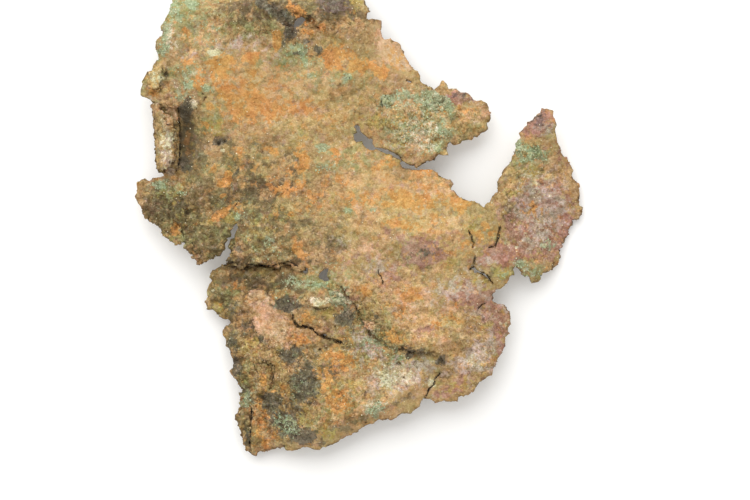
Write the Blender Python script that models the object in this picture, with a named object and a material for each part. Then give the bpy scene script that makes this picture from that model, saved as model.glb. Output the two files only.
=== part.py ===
"""Native copper sheet: one thin, ragged leaf of copper that grew in a crack of its rock.

The sheet is warped, torn at its margins and partly overlaps itself. It lies on its underside.
One closed, faceted solid in metres, +Z up, with the origin in the middle of its box's base.
Outlines and heights below are in millimetres: x to the right, y away, z up.
"""

import math
import random

import bmesh
import bpy
import numpy as np
from mathutils import Vector, noise
from mathutils.geometry import delaunay_2d_cdt

MILLIMETRE = 0.001
SEED = 11

# ---- driving dimensions, in millimetres ----

SHEET_LEVEL = 8.4          # height of the sheet's middle surface before it is warped
SHEET_THICKNESS = 2.0
RIM_THICKNESS = 1.1        # at the crumbled edges
RIM_TAPER = 4.0            # how far in from an edge the sheet reaches its full thickness
TOP_SPACING = 2.35         # between the points of the upper face
BASE_SPACING = 3.3         # between those of the underside
SCARP_HALF_WIDTH = 0.16    # half the width of a ledge's steep face
LOWER_SHEET_DROP = 3.3     # how far the lower sheet lies under the upper one at the long tear
MINIMUM_LEVEL = 1.25       # the lowest the middle surface may lie above the ground
CALM_MARGIN = 0.35         # share of the relief that is left right at an edge
CALM_WIDTH = 2.0           # how far in from an edge the relief is whole
UNDERLAP_THICKNESS = 0.95
UNDERLAP_DIP = 1.8         # how far the underlap dips under the upper sheet
ROLL_HEIGHT = 6.2          # of the rolled margin, from its underside to its top
ROLL_THICKNESS = 1.3
COPPER = (0.43, 0.27, 0.13, 1.0)

# ---- the outline, counter-clockwise ----

# the left edge, from the top down to the flap and round its tip
LEFT_EDGE = [
    (-49.6, 54.2), (-49.8, 52.9), (-50.4, 51.3), (-50.9, 50.2), (-51.4, 48.9), (-51.9, 47.3),
    (-52.6, 46.2), (-52.3, 45.2), (-52.7, 44.4), (-53.5, 43.9), (-53.3, 43.1), (-53.5, 42.0),
    (-53.9, 41.2), (-53.8, 40.4), (-53.0, 39.6), (-53.0, 39.0), (-54.1, 37.8), (-55.1, 35.9),
    (-55.9, 35.1), (-56.4, 34.6), (-56.4, 33.8), (-57.2, 32.7), (-57.8, 31.9), (-58.3, 31.0),
    (-58.0, 30.1), (-58.0, 29.0), (-57.0, 28.8), (-56.2, 28.2), (-55.7, 27.7), (-55.1, 26.9),
    (-54.3, 26.5), (-53.0, 26.2), (-51.4, 26.4),
]
# the bite in the left side that the rolled margin fills
NOTCH = [
    (-49.3, 26.0), (-47.4, 25.7), (-46.1, 24.8), (-45.6, 22.7), (-45.3, 18.4), (-45.3, 14.4),
    (-45.6, 11.3), (-46.6, 9.5), (-48.5, 8.7), (-50.6, 8.1),
]
# the lobe below the rolled margin, with two thin leaves at its foot
WEST_LOBE = [
    (-52.2, 7.7), (-53.8, 7.0), (-55.7, 6.5), (-56.7, 6.2), (-57.8, 6.5), (-59.1, 6.2),
    (-59.4, 4.6), (-59.6, 3.0), (-59.5, 1.5), (-58.6, 0.4), (-58.0, -0.9), (-57.5, -2.5),
    (-56.4, -3.8), (-55.4, -4.6), (-54.1, -5.2), (-53.0, -6.0), (-52.7, -7.0), (-52.2, -8.1),
    (-51.7, -9.1), (-50.9, -9.7), (-49.8, -9.4), (-49.0, -10.2), (-48.0, -10.7), (-47.3, -9.7),
    (-47.6, -8.3), (-46.6, -9.1), (-46.1, -10.2), (-46.4, -11.3), (-45.6, -12.1), (-44.5, -13.1),
    (-43.5, -14.2), (-42.9, -15.2), (-42.7, -16.0), (-42.1, -15.8), (-41.6, -15.2), (-40.8, -14.7),
    (-39.8, -14.4), (-39.0, -13.4), (-37.6, -13.4), (-36.6, -12.6), (-35.6, -11.9), (-35.9, -11.0),
    (-35.5, -10.2), (-36.0, -9.1), (-36.4, -8.5), (-35.2, -8.3), (-34.5, -7.7), (-33.9, -6.5),
    (-33.4, -5.6),
]
# the open cleft between the west lobe and the upper sheet
WEST_CLEFT = [
    (-32.9, -4.9), (-32.6, -3.6), (-32.2, -5.2), (-32.3, -6.2), (-32.6, -7.0), (-33.1, -8.1),
    (-33.4, -8.9), (-34.3, -9.1), (-34.6, -10.2), (-34.2, -11.5), (-33.9, -12.6), (-34.6, -13.6),
    (-35.2, -14.6),
]
# the upper lip of the long tear, as far as its inner end
LONG_TEAR_UPPER = [
    (-34.2, -15.6), (-33.1, -15.9), (-31.8, -16.7), (-30.2, -16.3), (-28.6, -16.4), (-27.6, -15.8),
    (-26.0, -15.5), (-24.4, -16.0), (-23.1, -16.8), (-21.7, -16.6), (-20.7, -15.8), (-19.1, -15.4),
    (-18.3, -16.3), (-17.2, -17.1), (-15.9, -17.5), (-14.8, -17.1), (-14.3, -16.2),
]
# the lower lip of the long tear, coming back
LONG_TEAR_LOWER = [
    (-13.8, -16.8), (-13.5, -18.2), (-14.3, -18.8), (-15.6, -18.8), (-17.0, -18.0), (-18.6, -17.4),
    (-20.4, -16.8), (-22.0, -17.5), (-23.9, -17.5), (-26.0, -16.7), (-27.8, -17.0), (-29.7, -17.2),
    (-31.8, -17.5), (-33.4, -16.8), (-35.0, -16.6), (-36.6, -16.4),
]
# the crumbled left edge of the lower sheet
SOUTH_WEST_EDGE = [
    (-37.4, -16.7), (-38.2, -17.4), (-39.2, -17.4), (-40.3, -19.2), (-39.0, -20.0), (-39.5, -20.8),
    (-40.3, -21.3), (-40.8, -22.7), (-40.8, -24.5), (-41.1, -26.1), (-40.8, -28.2), (-40.3, -28.2),
    (-39.5, -27.4), (-39.0, -28.5), (-38.2, -29.0), (-37.4, -29.8), (-36.3, -30.3), (-35.5, -30.9),
    (-34.7, -31.7), (-35.8, -32.2), (-36.6, -33.3), (-36.8, -34.1), (-36.0, -35.4), (-35.2, -36.2),
    (-35.8, -37.5), (-35.2, -38.8), (-34.5, -40.1), (-33.4, -41.2), (-33.1, -41.7), (-33.9, -42.8),
    (-34.7, -44.1), (-34.2, -45.2), (-33.4, -46.5), (-32.9, -47.3), (-32.1, -47.8), (-31.5, -49.2),
    (-31.5, -50.0), (-32.3, -50.7), (-32.1, -52.1), (-31.8, -53.7), (-31.5, -54.5), (-32.3, -55.3),
    (-33.1, -56.3), (-32.6, -57.4), (-32.3, -58.7), (-31.8, -60.6), (-31.5, -62.4), (-31.0, -64.0),
    (-30.5, -65.3), (-29.7, -66.1),
]
# the bottom edge, which is the smoothest
SOUTH_EDGE = [
    (-28.9, -66.6), (-28.1, -66.9), (-27.6, -66.4), (-26.5, -65.9), (-25.2, -65.3), (-23.9, -65.1),
    (-22.3, -64.8), (-20.7, -64.3), (-20.1, -64.5), (-19.9, -65.3), (-18.6, -65.6), (-17.5, -65.3),
    (-17.0, -65.1), (-15.4, -64.7), (-13.8, -64.7), (-13.2, -65.1), (-12.2, -65.1), (-10.6, -64.8),
    (-9.0, -64.4), (-7.4, -64.0), (-6.4, -63.2), (-5.3, -62.5), (-4.0, -61.6), (-2.7, -61.0),
    (-1.1, -60.3), (0.5, -59.2), (2.1, -58.4), (3.7, -57.6), (5.0, -57.2), (6.6, -57.1),
    (8.0, -57.1), (9.5, -56.6), (10.9, -55.8), (12.5, -55.4), (13.5, -55.1), (14.3, -54.5),
    (15.4, -53.4), (16.2, -52.6),
]
# a crack that opens to the bottom edge
SOUTH_EAST_CRACK = [
    (16.6, -51.5), (16.7, -50.2), (17.2, -49.2), (18.3, -48.1), (18.6, -46.8), (19.6, -45.7),
    (21.2, -44.8), (20.1, -46.1), (19.1, -47.2), (18.7, -48.6), (17.6, -49.7), (17.2, -50.7),
    (17.2, -51.7),
]
# the round lobe at the lower right
SOUTH_EAST_LOBE = [
    (18.0, -51.5), (19.1, -51.8), (19.6, -52.9), (20.7, -52.9), (22.0, -52.3), (23.6, -51.9),
    (24.6, -52.3), (25.4, -52.1), (25.7, -51.5), (26.5, -50.6), (27.6, -50.1), (28.9, -50.1),
    (29.9, -49.2), (31.3, -48.1), (32.1, -47.0), (32.6, -46.2), (33.7, -45.7), (34.5, -44.7),
    (35.2, -43.6), (36.0, -42.3), (36.3, -41.2), (37.1, -40.1), (37.9, -39.1), (38.2, -38.0),
    (38.4, -36.7), (38.7, -35.9), (38.4, -35.1), (39.5, -34.6), (39.5, -33.8), (39.0, -33.3),
    (39.2, -32.5), (39.8, -31.7), (39.9, -30.1), (39.5, -28.5), (39.0, -27.4), (38.2, -26.6),
    (37.1, -26.5), (36.0, -26.4), (35.2, -25.8), (35.2, -25.0), (35.0, -24.5), (35.5, -23.5),
    (35.8, -22.7), (34.7, -22.3),
]
# the forked crack between that lobe and the east leaf
EAST_CRACK = [
    (34.2, -20.8), (33.4, -19.6), (31.8, -18.6), (29.9, -17.6), (29.0, -17.2), (29.9, -16.7),
    (30.3, -15.2), (30.5, -14.0), (30.8, -15.2), (30.7, -16.6), (31.5, -17.5), (32.9, -18.3),
    (34.2, -19.2), (34.8, -20.4), (35.2, -21.6),
]
# the small tab under the neck of the east leaf
EAST_TAB = [
    (35.8, -22.1), (37.1, -22.5), (38.2, -22.3), (38.4, -21.3), (39.0, -20.3), (39.5, -19.5),
    (39.0, -18.9), (39.8, -18.7), (40.5, -18.4), (40.8, -17.6), (40.5, -16.8), (41.3, -16.4),
    (42.1, -16.6), (42.4, -17.4), (42.7, -18.4),
]
# the east leaf, round its tip and back to the neck
EAST_LEAF = [
    (43.5, -18.9), (44.3, -19.2), (45.1, -19.7), (45.3, -20.8), (46.4, -20.7), (47.7, -20.5),
    (48.0, -19.7), (47.7, -18.8), (48.8, -18.3), (50.1, -17.6), (51.7, -16.8), (52.5, -16.0),
    (53.3, -15.0), (53.5, -13.9), (53.3, -12.9), (53.5, -12.1), (54.3, -11.5), (53.8, -11.0),
    (54.3, -9.7), (55.1, -8.1), (55.9, -6.5), (56.4, -5.4), (57.2, -5.2), (56.7, -4.4),
    (57.5, -3.6), (58.8, -3.0), (59.4, -2.3), (59.6, -0.9), (59.1, -0.1), (58.6, 0.9),
    (58.3, 2.3), (58.6, 3.8), (58.6, 5.4), (57.8, 6.2), (57.2, 7.0), (56.7, 7.8),
    (57.0, 9.1), (57.2, 9.7), (56.4, 10.5), (55.4, 11.8), (55.4, 12.6), (54.3, 13.1),
    (53.5, 13.9), (53.5, 15.0), (53.0, 16.0), (52.2, 17.4), (51.9, 18.7), (51.9, 20.5),
    (51.7, 22.4), (51.7, 24.2), (50.9, 25.2), (50.1, 25.3), (49.0, 25.6), (48.0, 24.5),
    (47.2, 23.5), (46.4, 22.7), (44.8, 22.1), (44.3, 21.3), (43.7, 20.0), (42.9, 18.7),
    (42.4, 17.4), (41.6, 15.5), (41.1, 13.6), (40.8, 12.3), (40.8, 11.5), (39.8, 10.7),
    (38.7, 9.7), (37.9, 8.9), (37.6, 8.1), (37.9, 7.6), (36.8, 7.0), (36.3, 6.0),
    (36.8, 5.2), (36.8, 3.8), (36.0, 3.0), (35.0, 2.0), (34.7, 0.9), (33.9, 0.4),
]
# the floor of the bay between the east leaf and the north-east lobe
BAY_EDGE = [
    (33.7, -0.9), (32.6, -0.9), (31.8, -0.4), (31.3, 0.1), (30.5, 0.9), (29.4, 1.2),
    (28.4, 0.9), (27.3, 1.5), (26.2, 1.7), (25.7, 2.5), (25.2, 3.3), (24.6, 3.8),
    (24.1, 4.1), (24.1, 5.7), (23.6, 6.8), (22.5, 6.6), (21.7, 7.0), (20.9, 7.8),
    (19.6, 8.3), (18.8, 9.1), (17.8, 9.0), (16.4, 9.3), (14.8, 9.1), (13.2, 9.1),
    (11.9, 9.3),
]
# the narrow tear that runs in from the bay, out and back
NORTH_EAST_TEAR = [
    (10.9, 10.2), (10.3, 11.5), (9.5, 12.2), (8.0, 12.7), (6.1, 13.5), (4.5, 14.2),
    (2.7, 14.4), (1.6, 15.0), (0.8, 15.8), (0.3, 16.6), (-0.8, 17.0), (-1.9, 17.4),
    (-1.9, 18.2), (-1.3, 19.2), (-1.6, 20.3), (-1.1, 21.1), (-0.3, 21.1), (0.3, 20.3),
    (0.0, 19.7), (1.1, 18.9), (1.6, 18.2), (2.7, 17.5), (4.0, 17.3), (3.4, 16.2),
    (3.9, 15.4), (5.6, 15.1), (7.2, 14.8), (8.9, 14.2), (10.3, 13.4), (11.1, 12.6),
    (11.4, 11.8),
]
# the north-east lobe
NORTH_EAST_LOBE = [
    (12.2, 11.0), (13.8, 10.7), (15.1, 10.1), (16.2, 10.6), (17.5, 11.0), (18.6, 11.3),
    (19.6, 12.1), (20.4, 12.6), (20.9, 13.8), (21.7, 13.1), (22.3, 12.7), (23.3, 13.1),
    (23.6, 13.9), (23.1, 14.7), (23.6, 15.8), (23.2, 16.8), (23.3, 17.9), (23.7, 17.4),
    (24.1, 16.6), (24.9, 15.6), (25.7, 15.8), (26.5, 16.6), (27.0, 17.5), (28.4, 17.6),
    (29.2, 17.4), (29.7, 18.2), (29.4, 18.9), (30.2, 18.7), (31.0, 18.4), (32.1, 18.9),
    (33.1, 19.5), (33.9, 20.3), (34.2, 21.3), (34.5, 22.4), (34.5, 23.2), (35.0, 23.7),
    (34.5, 24.5), (34.2, 25.3), (33.9, 26.4), (33.4, 27.4), (32.6, 28.1), (31.8, 27.7),
    (31.5, 26.9), (31.4, 25.8), (31.2, 26.9), (31.0, 27.7), (29.7, 28.2), (28.6, 29.0),
    (27.6, 29.8), (26.2, 30.3), (25.2, 30.6), (24.4, 30.9), (23.6, 30.3), (23.3, 31.4),
    (22.8, 32.3), (22.0, 32.6), (20.9, 32.1), (20.7, 30.9), (20.1, 30.1), (19.1, 30.6),
    (18.3, 31.4), (17.2, 32.1), (16.2, 32.5),
]
# the flap that bends away below the north-east shoulder
BENT_FLAP = [
    (16.0, 33.1), (15.4, 33.3), (15.4, 34.3), (15.4, 35.5), (14.3, 35.4), (13.8, 36.4),
    (13.0, 37.2), (12.5, 38.3), (11.7, 39.4), (11.1, 40.4), (11.7, 40.7), (11.1, 41.7),
    (10.6, 42.5), (9.5, 43.3), (8.5, 44.1), (7.7, 44.3), (6.9, 43.6), (5.8, 43.6),
    (5.6, 44.7), (5.3, 45.4), (5.6, 46.8), (5.3, 47.3), (5.8, 47.6), (5.8, 48.4),
    (5.4, 48.9), (4.2, 49.2), (2.7, 48.9), (1.9, 48.9), (1.6, 49.7), (1.9, 50.5),
    (2.7, 50.7), (2.1, 52.1), (1.9, 53.1), (1.1, 53.9),
]
# the ragged top edge
TOP_EDGE = [
    (0.5, 55.0), (0.0, 56.3), (-1.1, 57.4), (-2.1, 58.2), (-1.9, 59.5), (-3.4, 60.6),
    (-5.0, 60.3), (-6.1, 61.9), (-8.0, 62.9), (-10.1, 62.7), (-11.7, 64.0), (-13.8, 63.5),
    (-15.6, 64.8), (-18.0, 65.6), (-19.6, 64.3), (-21.2, 65.1), (-23.3, 66.4), (-25.7, 65.9),
    (-27.3, 66.9), (-29.4, 66.1), (-31.0, 64.5), (-32.9, 65.1), (-35.0, 66.4), (-37.1, 65.3),
    (-38.7, 63.7), (-40.5, 64.0), (-42.1, 62.9), (-43.5, 61.1), (-45.1, 60.6), (-46.4, 58.7),
    (-47.4, 57.9), (-48.2, 56.3), (-49.3, 55.3),
]
OUTLINE = (
    LEFT_EDGE + NOTCH + WEST_LOBE + WEST_CLEFT + LONG_TEAR_UPPER + LONG_TEAR_LOWER +
    SOUTH_WEST_EDGE + SOUTH_EDGE + SOUTH_EAST_CRACK + SOUTH_EAST_LOBE + EAST_CRACK + EAST_TAB +
    EAST_LEAF + BAY_EDGE + NORTH_EAST_TEAR + NORTH_EAST_LOBE + BENT_FLAP + TOP_EDGE
)

# ---- holes and cracks right through the sheet ----

# a worn hole beside the crest
CREST_HOLE = [
    (-17.6, 47.0), (-17.0, 48.1), (-16.2, 48.6), (-15.1, 49.2), (-14.7, 48.6), (-15.5, 47.8),
    (-16.3, 46.8), (-17.0, 46.5),
]
# the slit where the bent flap has come away from the shoulder
FLAP_SLIT = [
    (11.1, 33.0), (11.9, 33.4), (13.2, 33.2), (14.0, 32.6), (14.4, 31.9), (13.5, 31.9),
    (12.2, 32.5),
]
# the hole at the inner end of the long tear
HEART_HOLE = [
    (-6.2, -15.5), (-7.7, -16.3), (-9.0, -17.1), (-10.3, -17.9), (-11.1, -19.2), (-11.0, -19.9),
    (-9.3, -20.0), (-8.5, -20.7), (-8.0, -20.1), (-8.5, -18.9), (-8.6, -18.0), (-7.7, -17.1),
    (-6.6, -16.2),
]
# the crooked crack across the lower sheet
SOUTH_CRACK = [
    (-18.2, -29.5), (-18.0, -30.7), (-17.0, -32.1), (-15.9, -32.8), (-13.8, -32.7), (-12.2, -33.1),
    (-10.9, -34.8), (-9.5, -35.1), (-8.0, -35.5), (-6.6, -36.2), (-5.0, -36.6), (-6.4, -35.6),
    (-7.7, -35.0), (-8.5, -34.3), (-10.3, -34.4), (-11.7, -32.7), (-13.5, -32.1), (-15.6, -32.2),
    (-16.7, -31.4), (-17.4, -30.3), (-17.5, -29.5),
]
# the crack across the neck of the east leaf
NECK_CRACK = [
    (37.1, -6.2), (36.7, -7.8), (36.0, -9.4), (35.5, -10.9), (36.1, -10.3), (37.0, -9.1),
    (37.4, -7.6),
]
# a short crack beside the forked one
INNER_CRACK = [
    (29.4, -8.1), (29.5, -9.1), (29.9, -10.1), (30.3, -11.0), (30.5, -10.2), (30.1, -9.3),
    (29.8, -8.3),
]
# a slit that carries the west cleft on
WEST_PIT_SLIT = [
    (-32.1, 1.3), (-33.3, 0.1), (-34.3, -1.7), (-34.7, -2.7), (-33.9, -1.6), (-32.9, -0.2),
]
HOLES = [CREST_HOLE, FLAP_SLIT, HEART_HOLE, SOUTH_CRACK, NECK_CRACK, INNER_CRACK, WEST_PIT_SLIT]

# ---- ledges, with the higher ground on the left of each line's direction ----

# the raised margin of the flap at the left
FLAP_LIP = [
    (-56.7, 29.5), (-55.4, 29.7), (-53.5, 30.2), (-52.3, 31.9), (-51.9, 33.7), (-51.5, 35.4),
    (-51.3, 37.0), (-51.5, 38.0),
]
# the long step where the upper sheet ends on the lower one
SEAM = [
    (-7.7, -21.3), (-5.8, -21.1), (-4.0, -22.7), (-2.1, -24.8), (-0.8, -26.6), (0.5, -28.8),
    (1.6, -31.9), (3.2, -34.3), (5.6, -35.6), (8.0, -37.0), (10.1, -38.0), (11.7, -37.5),
    (13.5, -38.6), (16.2, -39.0), (18.6, -38.6), (20.7, -39.9), (22.0, -41.7), (21.5, -43.6),
]
# a low shelf below the heart-shaped hole
CREAM_SHELF = [
    (-17.8, -26.4), (-15.9, -26.8), (-14.3, -26.5), (-12.2, -27.3), (-9.0, -27.0), (-5.8, -27.7),
]
# a plate that lies on the lower sheet
PALE_PLATE = [
    (-19.1, -28.2), (-21.2, -27.2), (-22.8, -25.6), (-24.4, -24.2), (-26.0, -22.4), (-29.2, -22.9),
    (-30.9, -25.0), (-30.5, -27.2), (-29.2, -30.1), (-28.1, -33.3), (-27.3, -36.2),
]
# a thin leaf along the lower left edge
RIM_LEAF = [
    (-27.0, -51.0), (-28.9, -54.2), (-28.8, -56.3), (-29.3, -59.8), (-29.4, -62.4), (-29.0, -65.1),
]
# two steps on the west lobe
LOBE_SHELF = [
    (-42.7, -12.3), (-41.6, -11.5), (-39.0, -11.7), (-37.1, -11.3),
]
LOBE_FOLD = [
    (-51.1, -3.4), (-49.8, -3.8), (-48.9, -4.6), (-48.2, -6.2), (-47.8, -7.8),
]
# the rim of a small crater
CRATER = [
    (-27.6, -42.8), (-26.2, -41.6), (-24.4, -41.7), (-22.9, -43.1), (-22.7, -44.9), (-23.6, -46.8),
    (-24.1, -48.6),
]
# the steep side of the crest, and the lip of the hollow beside it
CREST = [
    (-17.0, 44.4), (-18.6, 46.0), (-20.4, 47.6), (-22.0, 49.4), (-23.3, 51.8), (-24.4, 54.2),
    (-25.4, 56.6),
]
INNER_LIP = [
    (-19.1, 51.5), (-17.2, 50.5), (-15.6, 49.8), (-13.2, 48.9), (-10.9, 46.8), (-9.5, 44.1),
]
# short creases of the upper sheet
WEST_PIT = [
    (-35.5, 17.1), (-37.1, 16.6), (-38.7, 15.2),
]
NE_CREASE = [
    (6.6, 28.6), (5.4, 28.0), (5.6, 26.6), (6.4, 25.4),
]

# ---- lines that the warps follow ----

# along the long tear, between its two lips
TEAR_LINE = [
    (-36.6, -15.9), (-34.4, -16.1), (-33.2, -16.3), (-31.8, -17.1), (-29.9, -16.8), (-28.2, -16.7),
    (-26.0, -16.1), (-24.2, -16.8), (-23.0, -17.2), (-21.9, -17.0), (-20.4, -16.3), (-19.2, -16.2),
    (-18.4, -16.9), (-17.1, -17.6), (-15.8, -18.1), (-14.6, -17.9), (-14.0, -17.3),
]
# along the crooked crack, whose upper side stands higher
SOUTH_CRACK_LINE = [
    (-19.1, -28.8), (-18.1, -29.8), (-17.5, -31.1), (-16.2, -32.5), (-13.2, -32.4), (-11.4, -33.8),
    (-10.1, -34.7), (-8.0, -35.3), (-5.0, -36.4), (-3.2, -37.5),
]
# where the flap below the north-east shoulder bends down
FLAP_BEND = [
    (0.3, 49.4), (2.4, 45.7), (4.8, 42.0), (7.7, 37.5), (10.1, 34.1), (11.7, 32.5),
]
# the outline of the lower sheet's margin under the long tear
UNDERLAP = [
    (-36.0, -21.1), (-35.5, -17.6), (-36.0, -15.2), (-34.5, -13.4), (-31.8, -12.6), (-28.6, -12.1),
    (-25.4, -11.9), (-22.3, -12.6), (-19.3, -12.3), (-17.0, -13.4), (-15.6, -15.0), (-15.4, -17.4),
    (-15.6, -19.7), (-18.6, -21.1), (-23.9, -21.9), (-29.7, -21.9),
]

# ---- heights ----

# line, height of the step, how far behind it the step fades out
LEDGES = [
    (FLAP_LIP, 1.3, 6.0),
    (SEAM, 1.5, 9.0),
    (CREAM_SHELF, 1.0, 4.0),
    (PALE_PLATE, 1.1, 6.0),
    (RIM_LEAF, 1.3, 5.0),
    (LOBE_SHELF, 1.1, 4.0),
    (LOBE_FOLD, 1.2, 4.0),
    (CRATER, 1.3, 3.0),
    (CREST, 2.6, 7.0),
    (INNER_LIP, 1.6, 5.0),
    (WEST_PIT, 1.0, 4.0),
    (NE_CREASE, 0.9, 4.0),
]
SOUTH_CRACK_STEP = (SOUTH_CRACK_LINE, 1.1, 6.0)

# how far the sheet falls away, from what distance out, and over what length
TOP_FALL = (12.5, 50.0, 17.0)
FOOT_FALL = (1.9, 48.0, 16.0)
EAST_FALL = (6.0, 32.0, 25.0)
LOBE_FALL = (3.4, 8.0, 28.0)       # on the north-east lobe alone
FLAP_FALL = (5.0, 7.0)             # to the right of its bend: the fall and its width

# pattern of uneven ground: size across, height, layer
GROUND = (19.0, 1.5, 3.7)
TOP_FALL_WANDER = (11.0, 4.0, 6.6)
UPPER_LUMPS = (7.0, 1.0, 8.1)
UPPER_CRUMBS = (3.0, 0.5, 5.3)
LOWER_LUMPS = (6.0, 0.7, 1.4)
UNDERLAP_LUMPS = (3.0, 0.25, 2.2)

# centre, reach along x and y, height: the broad warps of the whole sheet
WARPS = [
    ((-21.0, 48.0), (24.0, 20.0), 4.6),
    ((-32.0, -38.0), (24.0, 26.0), -1.6),
    ((34.0, -38.0), (14.0, 13.0), -1.8),
    ((53.0, 22.0), (9.0, 9.0), 4.2),
    ((-56.0, 0.0), (13.0, 12.0), -2.8),
    ((-45.5, 17.0), (5.5, 9.0), -2.0),
    ((12.0, -8.0), (16.0, 14.0), 1.4),
    ((-3.0, 33.0), (22.0, 5.0), 1.2),
]

# centre, reach along x and y, height: knobs and hollows of the upper face alone
KNOBS = [
    ((-42.4, 31.7), (2.0, 2.0), 1.7),
    ((-18.4, 49.3), (2.6, 1.9), -1.7),
    ((-25.2, -44.6), (1.6, 1.8), -0.9),
    ((-10.6, -38.6), (0.8, 0.7), -1.1),
    ((-29.6, -52.4), (1.7, 1.6), 0.9),
    ((-37.0, 38.0), (2.2, 1.2), 0.6),
    ((-39.8, 26.0), (1.6, 1.2), 0.7),
    ((-11.0, -26.6), (3.0, 1.2), 0.7),
    ((-38.4, -28.2), (1.4, 1.8), 0.8),
    ((23.0, 29.0), (3.0, 2.5), 0.7),
    ((46.0, 14.0), (4.0, 3.0), 0.6),
]

# centre, reach, depth: low places of the underside, on which the sheet rests
FEET = [
    ((-24.0, 63.5), (9.0, 4.0), 1.6),
    ((-26.5, -61.5), (5.5, 5.5), 4.0),
    ((53.0, -7.0), (8.0, 10.0), 1.8),
]

# ---- the rolled margin, by y from its foot to its top ----

ROLL_ENDS = (8.3, 26.4)
ROLL_LEFT = [(8.0, -52.8), (12.0, -53.1), (18.0, -53.6), (22.0, -53.7), (26.6, -54.3)]
ROLL_LIP = [
    (8.3, -49.2), (10.6, -49.0), (12.0, -48.3), (18.4, -48.1), (21.0, -48.5), (23.0, -48.9),
    (26.4, -49.8),
]
ROLL_CURL_END = [(8.3, 25.0), (22.0, 35.0), (24.0, 80.0), (26.4, 120.0)]     # in degrees
ROLL_SLANT = [(8.3, 1.6), (13.0, 0.0)]       # how far the lip is drawn up at the foot
ROLL_ROWS = 17
ROLL_STEPS = 10


# ---- relief ----

def smooth(t):
    """An even rise from 0 to 1 as t goes from 0 to 1."""
    t = np.clip(t, 0.0, 1.0)
    return t * t * (3.0 - 2.0 * t)


def swell(x, y, centre, reach, height):
    """A round hill, or a hollow where height is negative."""
    return height * np.exp(-(((x - centre[0]) / reach[0]) ** 2) - ((y - centre[1]) / reach[1]) ** 2)


def swells(x, y, rows):
    return sum(swell(x, y, centre, reach, height) for centre, reach, height in rows)


def lumps(x, y, size, height, layer):
    """Uneven ground with lumps about size across; each layer gives another pattern."""
    values = [noise.noise(Vector((a / size, b / size, layer))) for a, b in zip(x, y)]
    return height * np.array(values)


def beside(line, x, y):
    """Distance from a line, positive on its left, and how far along it the nearest point is."""
    line = np.array(line)
    start = line[:-1]
    span = np.diff(line, axis=0)
    length = np.hypot(span[:, 0], span[:, 1])
    from_x = x[:, None] - start[:, 0]
    from_y = y[:, None] - start[:, 1]
    part = np.clip((from_x * span[:, 0] + from_y * span[:, 1]) / length**2, 0.0, 1.0)
    gap = (from_x - part * span[:, 0]) ** 2 + (from_y - part * span[:, 1]) ** 2
    across = (span[:, 0] * from_y - span[:, 1] * from_x) / length
    # at a corner two stretches are equally near, and the one seen more squarely gives the side
    nearest = (gap - 1e-6 * across**2).argmin(axis=1)
    rows = np.arange(len(x))
    side = np.where(across[rows, nearest] >= 0.0, 1.0, -1.0)
    travelled = (np.cumsum(length) - length + part * length)[rows, nearest]
    return side * np.sqrt(gap[rows, nearest]), travelled, length.sum()


def ledge(x, y, line, height, reach, fade=2.5):
    """A step up to the left of a line. It fades out behind, and its foot is dug a little."""
    side, travelled, total = beside(line, x, y)
    ends = smooth(np.minimum(travelled, total - travelled) / fade)
    raised = height * (1.0 - smooth(side / reach))
    dug = -0.3 * height * np.exp(-((side / 1.2) ** 2))
    return ends * np.where(side > 0.0, raised, dug)


def bend(x, y, line, fall, width):
    """Ground that falls away on the left of a line, over a width."""
    side, travelled, total = beside(line, x, y)
    ends = smooth(np.minimum(travelled, total - travelled) / 2.0)
    return -fall * ends * smooth(side / width)


def below_tear(x, y):
    """1 on the lower sheet beside the long tear, fading out past the tear's inner end."""
    tear = np.array(TEAR_LINE)
    tear_y = np.interp(x, tear[:, 0], tear[:, 1])
    west_of_end = smooth((TEAR_LINE[-1][0] + 1.0 - x) / 13.0)
    fade_south = 1.0 - 0.45 * smooth((-20.0 - y) / 30.0)
    return np.where(y < tear_y, west_of_end * fade_south, 0.0)


def fall(distance, drop, start, length):
    """How far the ground has fallen at a distance out."""
    return drop * smooth((distance - start) / length)


def lie(x, y):
    """Height of the sheet's middle surface: its broad warps, without the fine relief."""
    height = SHEET_LEVEL + swells(x, y, WARPS) + lumps(x, y, *GROUND)
    height -= LOWER_SHEET_DROP * below_tear(x, y)
    height -= fall(y + lumps(x, y, *TOP_FALL_WANDER), *TOP_FALL)
    height -= fall(-y, *FOOT_FALL)
    height -= fall(x, *EAST_FALL)
    on_lobe = smooth((y - 8.0) / 8.0) * smooth((38.0 - x) / 4.0)
    height -= on_lobe * fall(x, *LOBE_FALL)
    height += bend(x, y, FLAP_BEND, *FLAP_FALL)
    return np.maximum(height, MINIMUM_LEVEL)


def relief(x, y):
    """Fine relief of the upper face: ledges, knobs, hollows and lumps."""
    height = swells(x, y, KNOBS) + lumps(x, y, *UPPER_LUMPS) + lumps(x, y, *UPPER_CRUMBS)
    for line, step, reach in LEDGES:
        height += ledge(x, y, line, step, reach)
    height += ledge(x, y, *SOUTH_CRACK_STEP)
    return height


# ---- meshes ----

def rim_distance(loops, x, y):
    """Distance from the nearest edge of the outline or of a hole."""
    return np.min([np.abs(beside(loop + loop[:1], x, y)[0]) for loop in loops], axis=0)


def inside(loops, x, y):
    """True where a point is within the outline and in none of the holes."""
    crossings = np.zeros(len(x), dtype=int)
    for loop in loops:
        for (x1, y1), (x2, y2) in zip(loop, loop[1:] + loop[:1]):
            spans = (y1 > y) != (y2 > y)
            if y1 != y2:
                crossings += spans & (x < x1 + (y - y1) * (x2 - x1) / (y2 - y1))
    return crossings % 2 == 1


def offset_line(line, distance):
    """The line moved sideways, to its left where distance is positive."""
    line = np.array(line)
    ahead = np.gradient(line, axis=0)
    ahead /= np.hypot(ahead[:, 0], ahead[:, 1])[:, None]
    sideways = np.stack([-ahead[:, 1], ahead[:, 0]], axis=1)
    return [tuple(point) for point in line + distance * sideways]


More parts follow.
